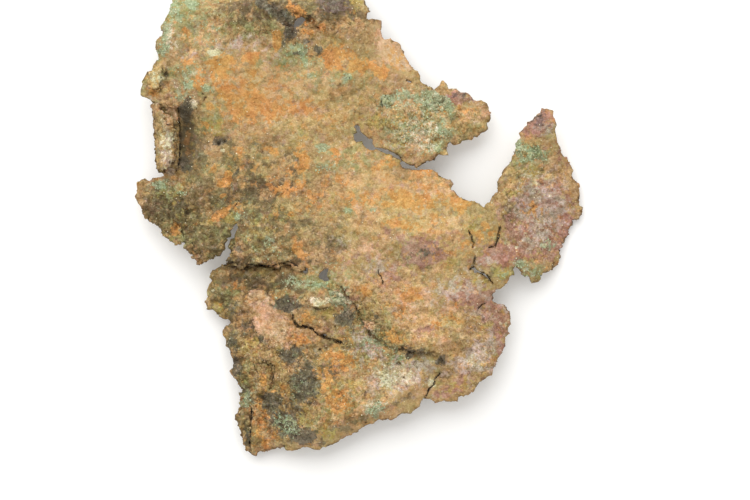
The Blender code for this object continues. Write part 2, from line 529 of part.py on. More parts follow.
def scattered_points(loops, lines, spacing):
    """Points on a loose triangular grid inside the outline, clear of its edges and of the lines."""
    chance = random.Random(SEED)
    corners = np.array(loops[0])
    low = corners.min(axis=0)
    high = corners.max(axis=0)
    row_height = spacing * math.sqrt(0.75)
    points = []
    for row in range(int((high[1] - low[1]) / row_height) + 1):
        for column in range(int((high[0] - low[0]) / spacing) + 1):
            shift = 0.5 * (row % 2)
            points.append((
                low[0] + spacing * (column + shift + chance.uniform(-0.3, 0.3)),
                low[1] + row_height * (row + chance.uniform(-0.3, 0.3)),
            ))
    x, y = np.array(points).T
    kept = inside(loops, x, y) & (rim_distance(loops, x, y) > 0.5 * spacing)
    for line in lines:
        kept &= np.abs(beside(line, x, y)[0]) > 0.4 * spacing
    return [point for point, keep in zip(points, kept) if keep]


def skin(loops, lines, spacing):
    """Triangles that fill the outline. The rim's points come first, in the loops' order."""
    points = []
    edges = []
    for loop in loops:
        first = len(points)
        edges += [(first + i, first + (i + 1) % len(loop)) for i in range(len(loop))]
        points += loop
    for line in lines:
        first = len(points)
        edges += [(first + i, first + i + 1) for i in range(len(line) - 1)]
        points += line
    points += scattered_points(loops, lines, spacing)
    corners, _, faces, *_ = delaunay_2d_cdt([Vector(p) for p in points], edges, [], 0, 1e-6)
    if len(corners) != len(points):
        raise ValueError("two lines of the outline cross or touch")
    x, y = np.array(points).T
    triangles = np.array(faces)
    filled = inside(loops, x[triangles].mean(axis=1), y[triangles].mean(axis=1))
    return x, y, triangles[filled]


def solid_object(name, corners, faces):
    """An object of a closed mesh given in millimetres, with its faces turned outwards."""
    mesh = bpy.data.meshes.new(name)
    mesh.from_pydata([Vector(corner) * MILLIMETRE for corner in corners], [], faces)
    shape = bmesh.new()
    shape.from_mesh(mesh)
    bmesh.ops.recalc_face_normals(shape, faces=shape.faces)
    shape.to_mesh(mesh)
    shape.free()
    solid = bpy.data.objects.new(name, mesh)
    bpy.context.scene.collection.objects.link(solid)
    return solid


def plate(name, loops, lines, top_height, base_height):
    """A warped plate between two height functions, closed by walls along its rim and holes."""
    top_x, top_y, top_faces = skin(loops, lines, TOP_SPACING)
    base_x, base_y, base_faces = skin(loops, [], BASE_SPACING)
    top_z = top_height(top_x, top_y, rim_distance(loops, top_x, top_y))
    base_z = base_height(base_x, base_y, rim_distance(loops, base_x, base_y))
    corners = list(zip(top_x, top_y, top_z)) + list(zip(base_x, base_y, base_z))
    below = len(top_x)
    faces = [tuple(face) for face in top_faces.tolist()]
    faces += [(below + c, below + b, below + a) for a, b, c in base_faces.tolist()]
    first = 0
    for loop in loops:
        for i in range(len(loop)):
            here = first + i
            there = first + (i + 1) % len(loop)
            faces.append((below + here, below + there, there))
            faces.append((below + here, there, here))
        first += len(loop)
    return solid_object(name, corners, faces)


def half_thickness(distance):
    """Half the sheet's thickness, which tapers towards its edges."""
    return 0.5 * (RIM_THICKNESS + (SHEET_THICKNESS - RIM_THICKNESS) * smooth(distance / RIM_TAPER))


def sheet_top(x, y, distance):
    taper = CALM_MARGIN + (1.0 - CALM_MARGIN) * smooth(distance / CALM_WIDTH)
    return lie(x, y) + half_thickness(distance) + taper * relief(x, y).clip(-1.0, None)


def sheet_base(x, y, distance):
    height = lie(x, y) - half_thickness(distance) - swells(x, y, FEET)
    height += lumps(x, y, *LOWER_LUMPS) * smooth(distance / CALM_WIDTH)
    return np.maximum(height, 0.0)


def main_sheet():
    scarps = []
    for line, _, _ in LEDGES:
        scarps.append(offset_line(line, SCARP_HALF_WIDTH))
        scarps.append(offset_line(line, -SCARP_HALF_WIDTH))
    return plate("copper_sheet", [OUTLINE, *HOLES], scarps, sheet_top, sheet_base)


# ---- leaves joined to the sheet ----

def underlap():
    """The lower sheet's margin, carried on under the upper sheet at the long tear."""
    tear = np.array(TEAR_LINE)

    def middle(x, y):
        under = y - np.interp(x, tear[:, 0], tear[:, 1]) + 1.0
        lower_sheet = lie(x, np.minimum(y, UNDERLAP[0][1] + 1.0))
        return lower_sheet - 0.4 - UNDERLAP_DIP * smooth(under / 3.0)

    def top(x, y, distance):
        return middle(x, y) + 0.5 * UNDERLAP_THICKNESS + lumps(x, y, *UNDERLAP_LUMPS)

    def base(x, y, distance):
        return middle(x, y) - 0.5 * UNDERLAP_THICKNESS

    return plate("underlap", [UNDERLAP], [], top, base)


def by_y(y, table):
    """The value at y, between the rows of a table of y and value."""
    return float(np.interp(y, *np.array(table).T))


def rolled_margin():
    """The left margin, curled up and over like a scroll, with a deep valley behind it."""
    rows = []
    for y in np.linspace(ROLL_ENDS[1], ROLL_ENDS[0], ROLL_ROWS):
        left = by_y(y, ROLL_LEFT)
        half_width = 0.5 * (by_y(y, ROLL_LIP) - left)
        wobble = noise.noise(Vector((0.0, y / 3.0, 4.4)))
        half_height = 0.5 * (ROLL_HEIGHT + 0.9 * wobble)
        root_z = lie(np.array([-44.5]), np.array([y]))[0] - 0.2
        valley_z = root_z - 0.5
        path = [
            (-43.2, y, root_z, 0.7),
            (-45.4, y, root_z - 0.1, 0.7),
            (-46.8, y, valley_z, 0.9),
        ]
        for step in range(ROLL_STEPS):
            part = step / (ROLL_STEPS - 1)
            turn = math.radians(-80.0 - part * (280.0 - by_y(y, ROLL_CURL_END)))
            bulge = 1.0 + 0.12 * noise.noise(Vector((step / 2.0, y / 2.5, 9.1)))
            path.append((
                left + half_width + bulge * half_width * math.cos(turn),
                y + part * by_y(y, ROLL_SLANT),
                valley_z + half_height + bulge * half_height * math.sin(turn),
                1.0 if step < ROLL_STEPS - 2 else 0.75,
            ))
        rows.append(path)
    return swept_strip("rolled_margin", rows, ROLL_THICKNESS)


def swept_strip(name, rows, thickness):
    """A strip through rows of points x, y, z and share, the share of its thickness there."""
    corners = []
    for path in rows:
        ahead = np.gradient(np.array(path)[:, (0, 2)], axis=0)
        ahead /= np.hypot(ahead[:, 0], ahead[:, 1])[:, None]
        for side in (0.5, -0.5):
            for (x, y, z, share), (ahead_x, ahead_z) in zip(path, ahead):
                push = side * share * thickness
                corners.append((x - ahead_z * push, y, z + ahead_x * push))
    width = len(rows[0])
    around = 2 * width
    ring = list(range(width)) + list(range(around - 1, width - 1, -1))
    faces = []
    for row in range(len(rows) - 1):
        for i in range(around):
            here = ring[i]
            there = ring[(i + 1) % around]
            first = row * around
            faces.append((first + here, first + there, first + around + there, first + around + here))
    last = (len(rows) - 1) * around
    for first in (0, last):
        for i in range(width - 1):
            faces.append((first + i, first + i + 1, first + width + i + 1, first + width + i))
    return solid_object(name, corners, faces)


def join(solid, leaf):
    """Unites a leaf with the sheet, and keeps the leaf only as a guide."""
    union = solid.modifiers.new(leaf.name, "BOOLEAN")
    union.operation = "UNION"
    union.solver = "EXACT"
    union.object = leaf
    leaf.hide_render = True
    leaf.display_type = "WIRE"


def copper():
    """Tarnished copper: brown with a little shine."""
    material = bpy.data.materials.new("tarnished_copper")
    material.use_nodes = True
    surface = material.node_tree.nodes["Principled BSDF"]
    surface.inputs["Base Color"].default_value = COPPER
    surface.inputs["Roughness"].default_value = 0.75
    surface.inputs["Metallic"].default_value = 0.3
    return material


def build():
    for thing in list(bpy.data.objects):
        bpy.data.objects.remove(thing, do_unlink=True)
    sheet = main_sheet()
    join(sheet, underlap())
    join(sheet, rolled_margin())
    sheet.data.materials.append(copper())


build()
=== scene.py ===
# %% [markdown]
# # A sheet of native copper
# Native copper is metal that grew in the rock. In a narrow crack it can only grow flat, so this
# piece is a ragged leaf about 2 mm thick, warped, torn and crumbled at its margins. Its metal
# hardly shows: brown, orange and mauve oxides and green copper salts cover it in patches.
#
# The lesson starts from a plain faceted solid of the sheet, gives it its fine relief, lays the
# coloured crusts on it, strews it with loose grains and sets it on a pale table.

# %% Load the solid
import math

import bpy
import numpy as np
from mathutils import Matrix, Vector, noise


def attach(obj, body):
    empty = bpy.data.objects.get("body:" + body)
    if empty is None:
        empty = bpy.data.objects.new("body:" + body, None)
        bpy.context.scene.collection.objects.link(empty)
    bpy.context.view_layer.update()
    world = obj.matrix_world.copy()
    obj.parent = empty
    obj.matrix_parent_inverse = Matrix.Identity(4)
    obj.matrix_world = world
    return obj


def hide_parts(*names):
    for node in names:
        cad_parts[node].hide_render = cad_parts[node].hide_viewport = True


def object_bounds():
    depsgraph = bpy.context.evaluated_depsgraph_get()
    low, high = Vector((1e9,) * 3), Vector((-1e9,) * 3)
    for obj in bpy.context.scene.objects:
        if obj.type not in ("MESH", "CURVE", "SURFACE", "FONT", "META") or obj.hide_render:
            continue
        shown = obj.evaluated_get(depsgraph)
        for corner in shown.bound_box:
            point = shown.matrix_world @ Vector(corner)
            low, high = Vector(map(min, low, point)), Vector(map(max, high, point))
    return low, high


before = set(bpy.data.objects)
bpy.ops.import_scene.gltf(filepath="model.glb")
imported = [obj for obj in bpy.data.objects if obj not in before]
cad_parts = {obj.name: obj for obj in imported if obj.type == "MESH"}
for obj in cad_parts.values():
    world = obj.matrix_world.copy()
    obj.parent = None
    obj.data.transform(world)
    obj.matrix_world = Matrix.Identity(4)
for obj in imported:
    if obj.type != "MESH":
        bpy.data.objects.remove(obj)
CAD_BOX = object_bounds()
MM = 0.001
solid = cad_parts["copper_sheet"]
print("solid sheet, mm:", [round((b - a) / MM, 1) for a, b in zip(*CAD_BOX)])

# %% [markdown]
# ## The table, the camera and the light
# The camera looks straight down on the sheet, which lies on its underside. A long lens from half
# a metre away keeps the sheet's outline true. One wide lamp behind it and a white room give soft
# light, so that lumps are modelled by shade and no hard shadow falls on the table.

# %% The camera
LENS = 85.0
VIEW_HEIGHT = 478.0 * MM
VIEW_CENTRE = (3.975 * MM, -12.06 * MM)
bpy.ops.object.camera_add(location=(*VIEW_CENTRE, VIEW_HEIGHT), rotation=(0, 0, 0))
camera = bpy.context.object
camera.name = "camera"
camera.data.lens = LENS
camera.data.clip_start = 10 * MM
bpy.context.scene.camera = camera
print("camera at", [round(v / MM, 1) for v in camera.location], "mm")

# %% The table top
TABLE_SIZE = 4.0
TABLE_COLOUR = (0.86, 0.855, 0.84, 1)
GLOW_COLOUR = (1.0, 0.975, 0.94, 1)
GLOW = 0.10
bpy.ops.object.select_all(action="DESELECT")
bpy.ops.mesh.primitive_plane_add(size=TABLE_SIZE, location=(0, 0, 0))
table = bpy.context.object
table.name = "table_top"
pale = bpy.data.materials.new("pale_table")
pale.use_nodes = True
coat = pale.node_tree.nodes["Principled BSDF"]
coat.inputs["Base Color"].default_value = TABLE_COLOUR
coat.inputs["Roughness"].default_value = 0.8
coat.inputs["Specular IOR Level"].default_value = 0.1
# a faint glow lifts the table to white
coat.inputs["Emission Color"].default_value = GLOW_COLOUR
coat.inputs["Emission Strength"].default_value = GLOW
table.data.materials.append(pale)
print("table,", TABLE_SIZE, "m wide")

# %% The lamp and the room
LAMP_PLACE = Vector((-0.35, 1.15, 0.95))
LAMP_SIZE = 2.0
LAMP_POWER = 32.0
ROOM_COLOUR = (1.0, 0.995, 0.985, 1)
ROOM_LIGHT = 0.80
bpy.ops.object.light_add(type="AREA", location=LAMP_PLACE)
lamp = bpy.context.object
lamp.name = "window"
lamp.data.size = LAMP_SIZE
lamp.data.energy = LAMP_POWER
lamp.rotation_euler = (-LAMP_PLACE).to_track_quat("-Z", "Y").to_euler()
room = bpy.data.worlds.new("white_room")
room.use_nodes = True
room.node_tree.nodes["Background"].inputs["Color"].default_value = ROOM_COLOUR
room.node_tree.nodes["Background"].inputs["Strength"].default_value = ROOM_LIGHT
bpy.context.scene.world = room
bpy.context.scene.view_settings.view_transform = "Standard"
print("lamp", round(LAMP_PLACE.length, 2), "m from the sheet")

# %% [markdown]
# ## The body of the sheet
# The solid has flat facets about 2 mm across, far coarser than the real surface. Cutting each
# facet finer would keep its edges, so the solid's copy is remade from small cubes of space, as
# if it were cast in fine sand, and smoothed until the facets are gone. That would nearly close
# the small worn hole beside the crest, so a cutter opens it first. Relief comes after that.


# %% Helpers that select an object and apply a modifier
def pick(thing):
    """Makes one object the only selected one, and the active one."""
    bpy.ops.object.select_all(action="DESELECT")
    thing.select_set(True)
    bpy.context.view_layer.objects.active = thing


def shape(thing, kind, **settings):
    """Adds a modifier to an object, sets it up and applies it."""
    pick(thing)
    step = thing.modifiers.new(kind.lower(), kind)
    for name, value in settings.items():
        setattr(step, name, value)
    bpy.ops.object.modifier_apply(modifier=step.name)


def triangles(thing):
    return sum(len(face.vertices) - 2 for face in thing.data.polygons)


print("the solid has", triangles(solid), "triangles")

# %% Copy the solid and merge its loose triangles
sheet = bpy.data.objects.new("copper_leaf", solid.data.copy())
bpy.context.scene.collection.objects.link(sheet)
pick(sheet)
bpy.ops.object.mode_set(mode="EDIT")
bpy.ops.mesh.select_all(action="SELECT")
bpy.ops.mesh.remove_doubles(threshold=0.001 * MM)
bpy.ops.object.mode_set(mode="OBJECT")
sheet.data.materials.clear()
print("merged copy:", len(sheet.data.vertices), "points")

# %% Open the worn hole with a round cutter, stretched and turned
HOLE_PLACE = (-16.0 * MM, 47.8 * MM, 10.0 * MM)
HOLE_HALF_SIZES = (1.9, 0.85)
HOLE_TURN = 42.0
bpy.ops.object.select_all(action="DESELECT")
bpy.ops.mesh.primitive_cylinder_add(
    vertices=20, radius=1 * MM, depth=40 * MM,
    location=HOLE_PLACE, rotation=(0, 0, math.radians(HOLE_TURN)),
)
cutter = bpy.context.object
cutter.scale = (*HOLE_HALF_SIZES, 1.0)
bpy.ops.object.transform_apply(location=True, rotation=True, scale=True)
shape(sheet, "BOOLEAN", operation="DIFFERENCE", object=cutter, solver="EXACT")
bpy.data.objects.remove(cutter)
print("hole opened to", " by ".join(str(2 * half) for half in HOLE_HALF_SIZES), "mm")

# %% Remake the copy finely and smooth its facets away
VOXEL = 0.395 * MM
SMOOTHINGS = 5
shape(sheet, "REMESH", mode="VOXEL", voxel_size=VOXEL, adaptivity=0.0, use_smooth_shade=True)
shape(sheet, "SMOOTH", factor=0.5, iterations=SMOOTHINGS)
print("fine mesh:", triangles(sheet), "triangles")

# %% [markdown]
# ## Where the relief is strong
# Copper that grew between two walls of rock took the print of both. It is lumpy in the west,
# smooth on the bright plate, scaly where oxide lifts off and crumbled at the margins. A painter
# would brush such weights on by hand. Here they are worked out for each point of the mesh, from
# its place and from the way its surface faces, and kept in vertex groups.


# %% Helpers that read the mesh
def read(items, what, columns, kind=np.float32):
    """One row for each item of a mesh, such as its place or its corners."""
    flat = np.empty(columns * len(items), kind)
    items.foreach_get(what, flat)
    return flat.reshape(-1, columns)


def points_of(thing):
    """The vertices in millimetres, one row each."""
    return read(thing.data.vertices, "co", 3).astype(float) / MM


def normals_of(thing):
    return read(thing.data.vertices, "normal", 3).astype(float)


def ease(low, high, value):
    """0 below low, 1 above high, and an even rise between them."""
    part = np.clip((value - low) / (high - low), 0.0, 1.0)
    return part * part * (3.0 - 2.0 * part)


# a normal that rises or falls by less than this belongs to an upright surface
UPRIGHT = 0.45


def steep(normals):
    """1 where the surface stands nearly upright, as at the margins, and 0 elsewhere."""
    return (np.abs(normals[:, 2]) < UPRIGHT).astype(float)


places = points_of(sheet)
facing = normals_of(sheet)
print("steep:", round(100 * float(steep(facing).mean())), "% of", len(places), "points")


# %% Helpers that keep and soften values on the mesh
def spread(thing, field, rounds):
    """Averages a value with that of its neighbours along the edges, a number of times."""
    a, b = read(thing.data.edges, "vertices", 2, np.int32).T
    count = len(thing.data.vertices)
    degree = np.bincount(a, minlength=count) + np.bincount(b, minlength=count)
    columns = field if field.ndim > 1 else field[:, None]
    for _ in range(rounds):
        total = np.stack([
            np.bincount(a, column[b], count) + np.bincount(b, column[a], count)
            for column in columns.T
        ], axis=1)
        columns = 0.5 * columns + 0.5 * total / degree[:, None]
    return columns if field.ndim > 1 else columns[:, 0]


def weigh(thing, name, weights, steps=20):
    """Stores weights from 0 to 1 in a vertex group, and gives back its name."""
    group = thing.vertex_groups.new(name=name)
    levels = np.round(np.clip(weights, 0.0, 1.0) * steps).astype(int)
    for level in range(1, steps + 1):
        group.add(np.flatnonzero(levels == level).tolist(), level / steps, "REPLACE")
    return name


def store(thing, name, values):
    """Keeps one value for each vertex on the mesh, for the material to read."""
    mark = thing.data.attributes.new(name, "FLOAT", "POINT")
    mark.data.foreach_set("value", values.astype(np.float32))


wall = spread(sheet, steep(facing), 16)
print("near a margin:", round(100 * float((wall > 0.3).mean())), "% of the points")


# %% Helpers that say what lies where
def wandered(points, size, reach, layer):
    """The points pushed about by up to reach, in swirls of about size."""
    offset = Vector((layer, 2.0 * layer, 3.0 * layer))
    push = [noise.noise_vector(Vector(p) / size + offset) for p in points.tolist()]
    return points + reach * np.array(push)


def clouds(points, size, layer):
    """A soft value about 0 at each point."""
    return np.array([noise.noise(Vector(p) / size + Vector((layer, 0, 0))) for p in points.tolist()])


def cover(points, marks):
    """How much of the ground a list of places takes at each point, from 0 to 1."""
    bare = np.ones(len(points))
    for x, y, half_x, half_y, amount, *turn in marks:
        angle = math.radians(turn[0] if turn else 0)
        c, s = math.cos(angle), math.sin(angle)
        dx, dy = points[:, 0] - x, points[:, 1] - y
        ring = ((c * dx + s * dy) / half_x) ** 2 + ((c * dy - s * dx) / half_y) ** 2
        bare *= 1.0 - amount * np.exp(-ring**1.5)
    return 1.0 - bare


# %% Where the leaf is rough, calm and strewn with crumbs, and its tears and holes
# each place: its middle, half width and half height in mm, its amount, and its turn in degrees
# where it is turned
ROUGH = [
    (-29.2, -0.1, 21.2, 14.6, 0.35), (39.8, 1.2, 3.7, 5.8, 0.4), (-49.8, -2.8, 12.2, 10.6, 0.8),
    (-25.2, -43.9, 15.9, 25.2, 0.9), (-54.3, 33, 4.8, 7.4, 0.25), (19.9, 21.1, 15.9, 10.6, 0.45),
    (4, -35.9, 14.6, 13.2, 0.6), (-18.6, 48.4, 21.2, 7.4, 0.6), (-34.5, -13.4, 21.2, 5.8, 0.6),
    (47.7, -2.8, 10.6, 21.2, 0.32), (31.8, -38.6, 10.6, 13.2, 0.4), (-5.3, -54.5, 15.9, 8, 0.5),
    (-46.4, 25, 5.3, 5.3, 0.5), (-50.9, 17.1, 2.9, 10.1, 0.45),
]
CALM = [
    (-25.2, 33, 15.9, 6.9, 0.35), (-9.3, -61.9, 15.9, 2.4, 0.75, 14), (10.6, -53.9, 6.9, 2.1, 0.6, 30),
    (3.2, 6.5, 8, 4.2, 0.25), (18.6, -5.4, 10.6, 6.9, 0.25), (10.1, 38.8, 5.8, 5.3, 0.85, -50),
    (5.8, 46.2, 2.7, 4.2, 0.7), (-24.4, -30.1, 5.8, 5.3, 0.55), (-15.9, 31.4, 10.6, 2.7, 0.25),
    (-13.2, -27.2, 3.7, 1.6, 0.3),
]
RUBBLE = [
    (-1.1, -27.7, 3.2, 1.9, 0.9, -45), (4.8, -33, 2.7, 1.6, 0.7, -35),
    (-6.1, -22.7, 2.7, 1.6, 0.7, -20), (-19.1, 47.6, 1.3, 2.7, 0.4, 40), (-49.8, 8.6, 2.1, 1.3, 0.6),
    (-51.7, 26.1, 2.1, 1.3, 0.5), (-4, -24.8, 4.8, 2.4, 0.9), (1.6, -30.6, 3.7, 1.9, 0.8, -30),
    (-12.7, -25.3, 3.7, 1.3, 0.6), (-31.8, -49.7, 1.9, 5.8, 0.5), (-36.6, -25.3, 3.7, 3.7, 0.5),
    (-42.4, -14.2, 6.9, 1.6, 0.6, -20), (6.6, 27.2, 2.1, 1.3, 0.6), (21.2, 26.6, 3.2, 2.4, 0.5),
    (45.1, 14.4, 4.2, 1.9, 0.5), (10.6, 20.3, 10.6, 5.3, 0.15),
]
# where the two sides of a tear nearly touch, and where a hole stays open
TIGHT = [
    (33.4, -19.2, 3.4, 1.9, 1, -30), (7.4, 15, 6.9, 2.7, 0.6, -30), (3.4, 18.7, 2.7, 2.1, 0.4),
    (-32.3, -5.2, 2.1, 4.2, 0.3), (29.2, -16.3, 1.3, 2.1, 0.9), (-15.4, -17.4, 2.1, 1.6, 0.9),
]
OPEN = [
    (-16.2, 48.1, 2.4, 1.9, 1, 40), (-10.3, -17.9, 1.9, 2.1, 0.5),
]
rough = cover(places, ROUGH)
calm = cover(places, CALM)
print("rough:", round(100 * float(rough.mean())), "%, calm:", round(100 * float(calm.mean())), "%")

# %% Weights for the walls, the lumps and the loose margins
let_out = (0.5 + 0.5 * cover(places, TIGHT)) * (1.0 - cover(places, OPEN))
WALLS = weigh(sheet, "walls", spread(sheet, steep(facing), 2) * let_out)
LUMPY = weigh(sheet, "lumpy", (0.45 + 0.55 * rough) * (1.0 - 0.6 * calm))
loose = (0.15 + 0.5 * rough + 2.0 * wall) * (1.0 - 0.75 * calm) * (1.0 - 0.8 * cover(places, OPEN))
MARGIN = weigh(sheet, "margin", loose)
print("groups:", WALLS, LUMPY, MARGIN)

# %% Weights for the scales, which lie in terraces like peeling paint
# clouds of two sizes are cut into levels, with a short rise from each to the next
moved = wandered(places, 2.2, 0.8, 9.0)
layers = 3.4 * (clouds(moved, 6.5, 11.0) + 0.45 * clouds(moved, 2.6, 13.0))
part = layers - np.floor(layers)
terraces = np.floor(layers) + ease(0.42, 0.60, part)
above = ease(0.2, 0.6, facing[:, 2]) * (0.35 + 0.65 * rough) * (1.0 - calm)
FLAKY = weigh(sheet, "flaky", above * np.clip(0.5 + 0.25 * terraces, 0.0, 1.0), 60)
# the foot of each rise is kept, because the material paints a shadow line there
store(sheet, "lip", above * ease(0.20, 0.36, part) * (1.0 - ease(0.44, 0.52, part)))
print("terraces from", int(layers.min()), "to", int(layers.max()))

# %% [markdown]
# ## The fine relief
# The leaf has lumps of some millimetres, crumbs of about one and grit finer still. A Displace
# modifier moves each point along its normal by a cloud or cell pattern, and a few of them at
# falling sizes give the mixture. One at the margins moves the points sideways too, so that the
# outline frays as the metal does. Sculpting would do it as well, but not the same way twice.


# %% Patterns for the relief
def pattern(name, kind, size, **settings):
    """A procedural pattern whose features are about size millimetres across."""
    texture = bpy.data.textures.new(name, kind)
    texture.noise_scale = size * MM
    for key, value in settings.items():
        setattr(texture, key, value)
    return texture


FRAY = pattern("fray", "CLOUDS", 1.7, noise_depth=2, cloud_type="COLOR")
LUMPS = pattern("lumps", "CLOUDS", 3.0, noise_depth=2)
CRUMBS = pattern("crumbs", "VORONOI", 1.5, distance_metric="DISTANCE", noise_intensity=1.1)
GRIT = pattern("grit", "CLOUDS", 0.75, noise_depth=1)
print("patterns:", FRAY.name, LUMPS.name, CRUMBS.name, GRIT.name)

# %% Lay the relief on
# the smoothing drew the margins in, so they are let out again first
shape(sheet, "DISPLACE", strength=0.8 * MM, mid_level=0.0, vertex_group=WALLS)
shape(sheet, "DISPLACE", texture=FRAY, texture_coords="LOCAL", direction="RGB_TO_XYZ",
      space="LOCAL", strength=1.7 * MM, mid_level=0.5, vertex_group=MARGIN)
shape(sheet, "DISPLACE", strength=1.5 * MM, mid_level=0.4, vertex_group=FLAKY)
shape(sheet, "DISPLACE", texture=LUMPS, texture_coords="LOCAL", strength=1.15 * MM, mid_level=0.5,
      vertex_group=LUMPY)
shape(sheet, "DISPLACE", texture=CRUMBS, texture_coords="LOCAL", strength=-0.85 * MM,
      mid_level=0.35, vertex_group=MARGIN)
shape(sheet, "DISPLACE", texture=GRIT, texture_coords="LOCAL", strength=0.22 * MM, mid_level=0.5)
print("relief laid on, box in mm:", np.ptp(points_of(sheet), axis=0).round(1))

# %% [markdown]
# ## Cracks and pits
# The leaf is brittle where it is oxidised, and it split as it was bent and handled. Cutting such
# fine cracks right through would tear the mesh apart. So a crack is a line of points sunk into
# it by one more Displace, weighted by how near each point is to the line.

# %% The cracks and pits, in millimetres
# half the width of each crack, and its points
CRACKS = [
    (0.38, [
        (-18, -29.5), (-17.8, -30.9), (-16.7, -32.2), (-14.3, -32.5), (-12.7, -33), (-11.1, -34.6),
        (-9.5, -35.1), (-7.7, -35.9), (-5, -36.7),
    ]),
    (0.3, [(21.2, -44.9), (20.1, -46.2), (19.6, -47.8), (18.3, -49.2), (17.8, -50.7), (16.7, -52.1)]),
    (0.26, [
        (-29.2, -54.2), (-28.9, -56.3), (-29.4, -58.7), (-29.2, -61.3), (-29.7, -64), (-29.4, -66.4),
    ]),
    (0.14, [(-28.4, -41.7), (-28.1, -43.3), (-27.3, -44.7)]),
    (0.16, [
        (-26, -41.2), (-24.1, -42), (-22.8, -43.3), (-22.8, -44.9), (-23.3, -46.5), (-24.1, -48.6),
    ]),
    (0.1, [(-51.1, 22.4), (-50.6, 20.5), (-48.8, 21.3), (-48.5, 19.2)]),
    (0.2, [
        (-48.2, 25.6), (-48.2, 22.9), (-48.1, 20.3), (-48.2, 17.1), (-48.1, 14.4), (-48.2, 11.8),
        (-48.8, 9.1),
    ]),
    (0.1, [(-32.3, 0.9), (-33.4, -0.7), (-34.7, -2.5)]),
    (0.1, [(-41.6, 29.5), (-40.8, 28.2)]),
    (0.24, [(6.6, 28.5), (5.8, 27.8), (5.6, 27), (5.8, 26.1)]),
    (0.16, [(28.8, -7), (29.2, -8)]),
    (0.2, [(29.5, -8.3), (29.7, -9.4), (30.2, -10.3), (29.9, -11.3)]),
    (0.3, [(37.2, -6.2), (36.8, -8.2), (36.4, -9.7), (35.9, -10.9)]),
    (0.16, [(35.8, -11), (34.2, -11.4)]),
    (0.3, [(30.5, -14.2), (30.3, -15.4), (30.2, -16.2), (29.3, -17.2)]),
    (0.18, [(31.2, -17.6), (32.7, -18.4), (34.2, -19.5), (35.2, -21.1)]),
    (0.14, [(4.8, -17.1), (5, -18.4), (5.8, -19.5), (6.1, -21.1)]),
    (0.14, [(33.4, -26.1), (32.3, -26.6), (31.3, -27.7)]),
    (0.12, [(-32.9, -6.8), (-33.9, -8.3), (-33.4, -10.5), (-34.2, -12.6)]),
    (0.24, [
        (-35.8, -15.2), (-31.8, -15.8), (-28.6, -16), (-25.4, -16.3), (-21.7, -16), (-18.6, -15.2),
        (-16.7, -16.3),
    ]),
    (0.08, [(-1.9, -31.1), (-1.6, -34.3)]),
    (0.12, [(-48.8, -4.6), (-47.4, -6.8), (-46.6, -8.9)]),
    (0.12, [(-44.5, -10.2), (-42.9, -12.6), (-41.1, -14.7)]),
    (0.09, [(-40.3, 28.5), (-41.3, 27.4)]),
    (0.14, [(-52.2, 36.7), (-51.9, 34.6), (-52.5, 33.3)]),
    (0.1, [(-56.4, 31.4), (-55.1, 30.3), (-53.5, 30.3), (-52.7, 31.4)]),
]
# x, y, radius
PITS = [
    (-10.6, -38.6, 0.42), (1.6, -57.9, 0.34), (-47.4, -2.8, 0.27), (-49, 17.9, 0.27), (-49, 16.8, 0.27),
    (-48.8, 15, 0.32), (-49.8, 11, 0.42), (11.7, -46, 0.24), (-20.7, 50.2, 0.32), (-17, -50.7, 0.27),
    (-5.3, -36.7, 0.34), (-37.6, 16.3, 0.53), (-36, 16.8, 0.42), (-6.6, -32.2, 0.27),
    (23.9, -40.1, 0.24), (-30.7, -37.2, 0.32), (2.4, 20.5, 0.24), (7.4, 27.7, 0.34), (41.6, 23.2, 0.24),
    (-23.9, -25.3, 0.24), (13.2, -39.1, 0.34), (10.6, -38.3, 0.29), (15.9, -39.1, 0.29),
]
print(len(CRACKS), "cracks,", len(PITS), "pits")


# %% Sink them into the sheet
def from_lines(points, lines):
    """Distance from the nearest line seen from above, in its own widths, negative on its right."""
    nearest = np.full(len(points), 1e9)
    side = np.ones(len(points))
    for width, line in lines:
        for (x1, y1), (x2, y2) in zip(line, line[1:]):
            along = np.array([x2 - x1, y2 - y1])
            gap = points[:, :2] - (x1, y1)
            part = np.clip(gap @ along / (along @ along), 0.0, 1.0)
            distance = np.hypot(*(gap - part[:, None] * along).T) / width
            closer = distance < nearest
            nearest[closer] = distance[closer]
            side[closer] = np.where(along[0] * gap[:, 1] - along[1] * gap[:, 0] < 0, -1, 1)[closer]
    return side * nearest


CRACK_DEPTH = 1.0 * MM
places = points_of(sheet)
upper = ease(0.1, 0.5, normals_of(sheet)[:, 2])
split = (1.0 - ease(0.3, 1.3, np.abs(from_lines(places, CRACKS)))) * upper
for x, y, reach in PITS:
    gap = np.hypot(places[:, 0] - x, places[:, 1] - y)
    split = np.maximum(split, (1.0 - ease(0.4 * reach, 1.3 * reach, gap)) * upper)
CRACKED = weigh(sheet, "cracks", split)
shape(sheet, "DISPLACE", strength=-CRACK_DEPTH, mid_level=0.0, vertex_group=CRACKED)
print("sunk:", int((split > 0.5).sum()), "points")

# %% [markdown]
# ## Fewer faces where nobody looks
# The underside shows only when the sheet is turned over, so its faces are joined into larger
# ones. The sheet also stands on the table, so nothing may reach below it, and the relief may
# stand only a little above the solid.

# %% Lighten the underside
BUDGET = 196000
DOWNWARD = -0.35
pick(sheet)
bpy.ops.object.mode_set(mode="EDIT")
bpy.ops.mesh.select_all(action="DESELECT")
bpy.ops.object.mode_set(mode="OBJECT")
below = read(sheet.data.polygons, "normal", 3)[:, 2] < DOWNWARD
sheet.data.polygons.foreach_set("select", below)
before = triangles(sheet)
hidden = 2 * int(below.sum())
bpy.ops.object.mode_set(mode="EDIT")
bpy.ops.mesh.select_mode(type="FACE")
bpy.ops.mesh.decimate(ratio=max(0.1, (BUDGET - (before - hidden)) / hidden))
bpy.ops.object.mode_set(mode="OBJECT")
print("triangles:", before, "->", triangles(sheet))

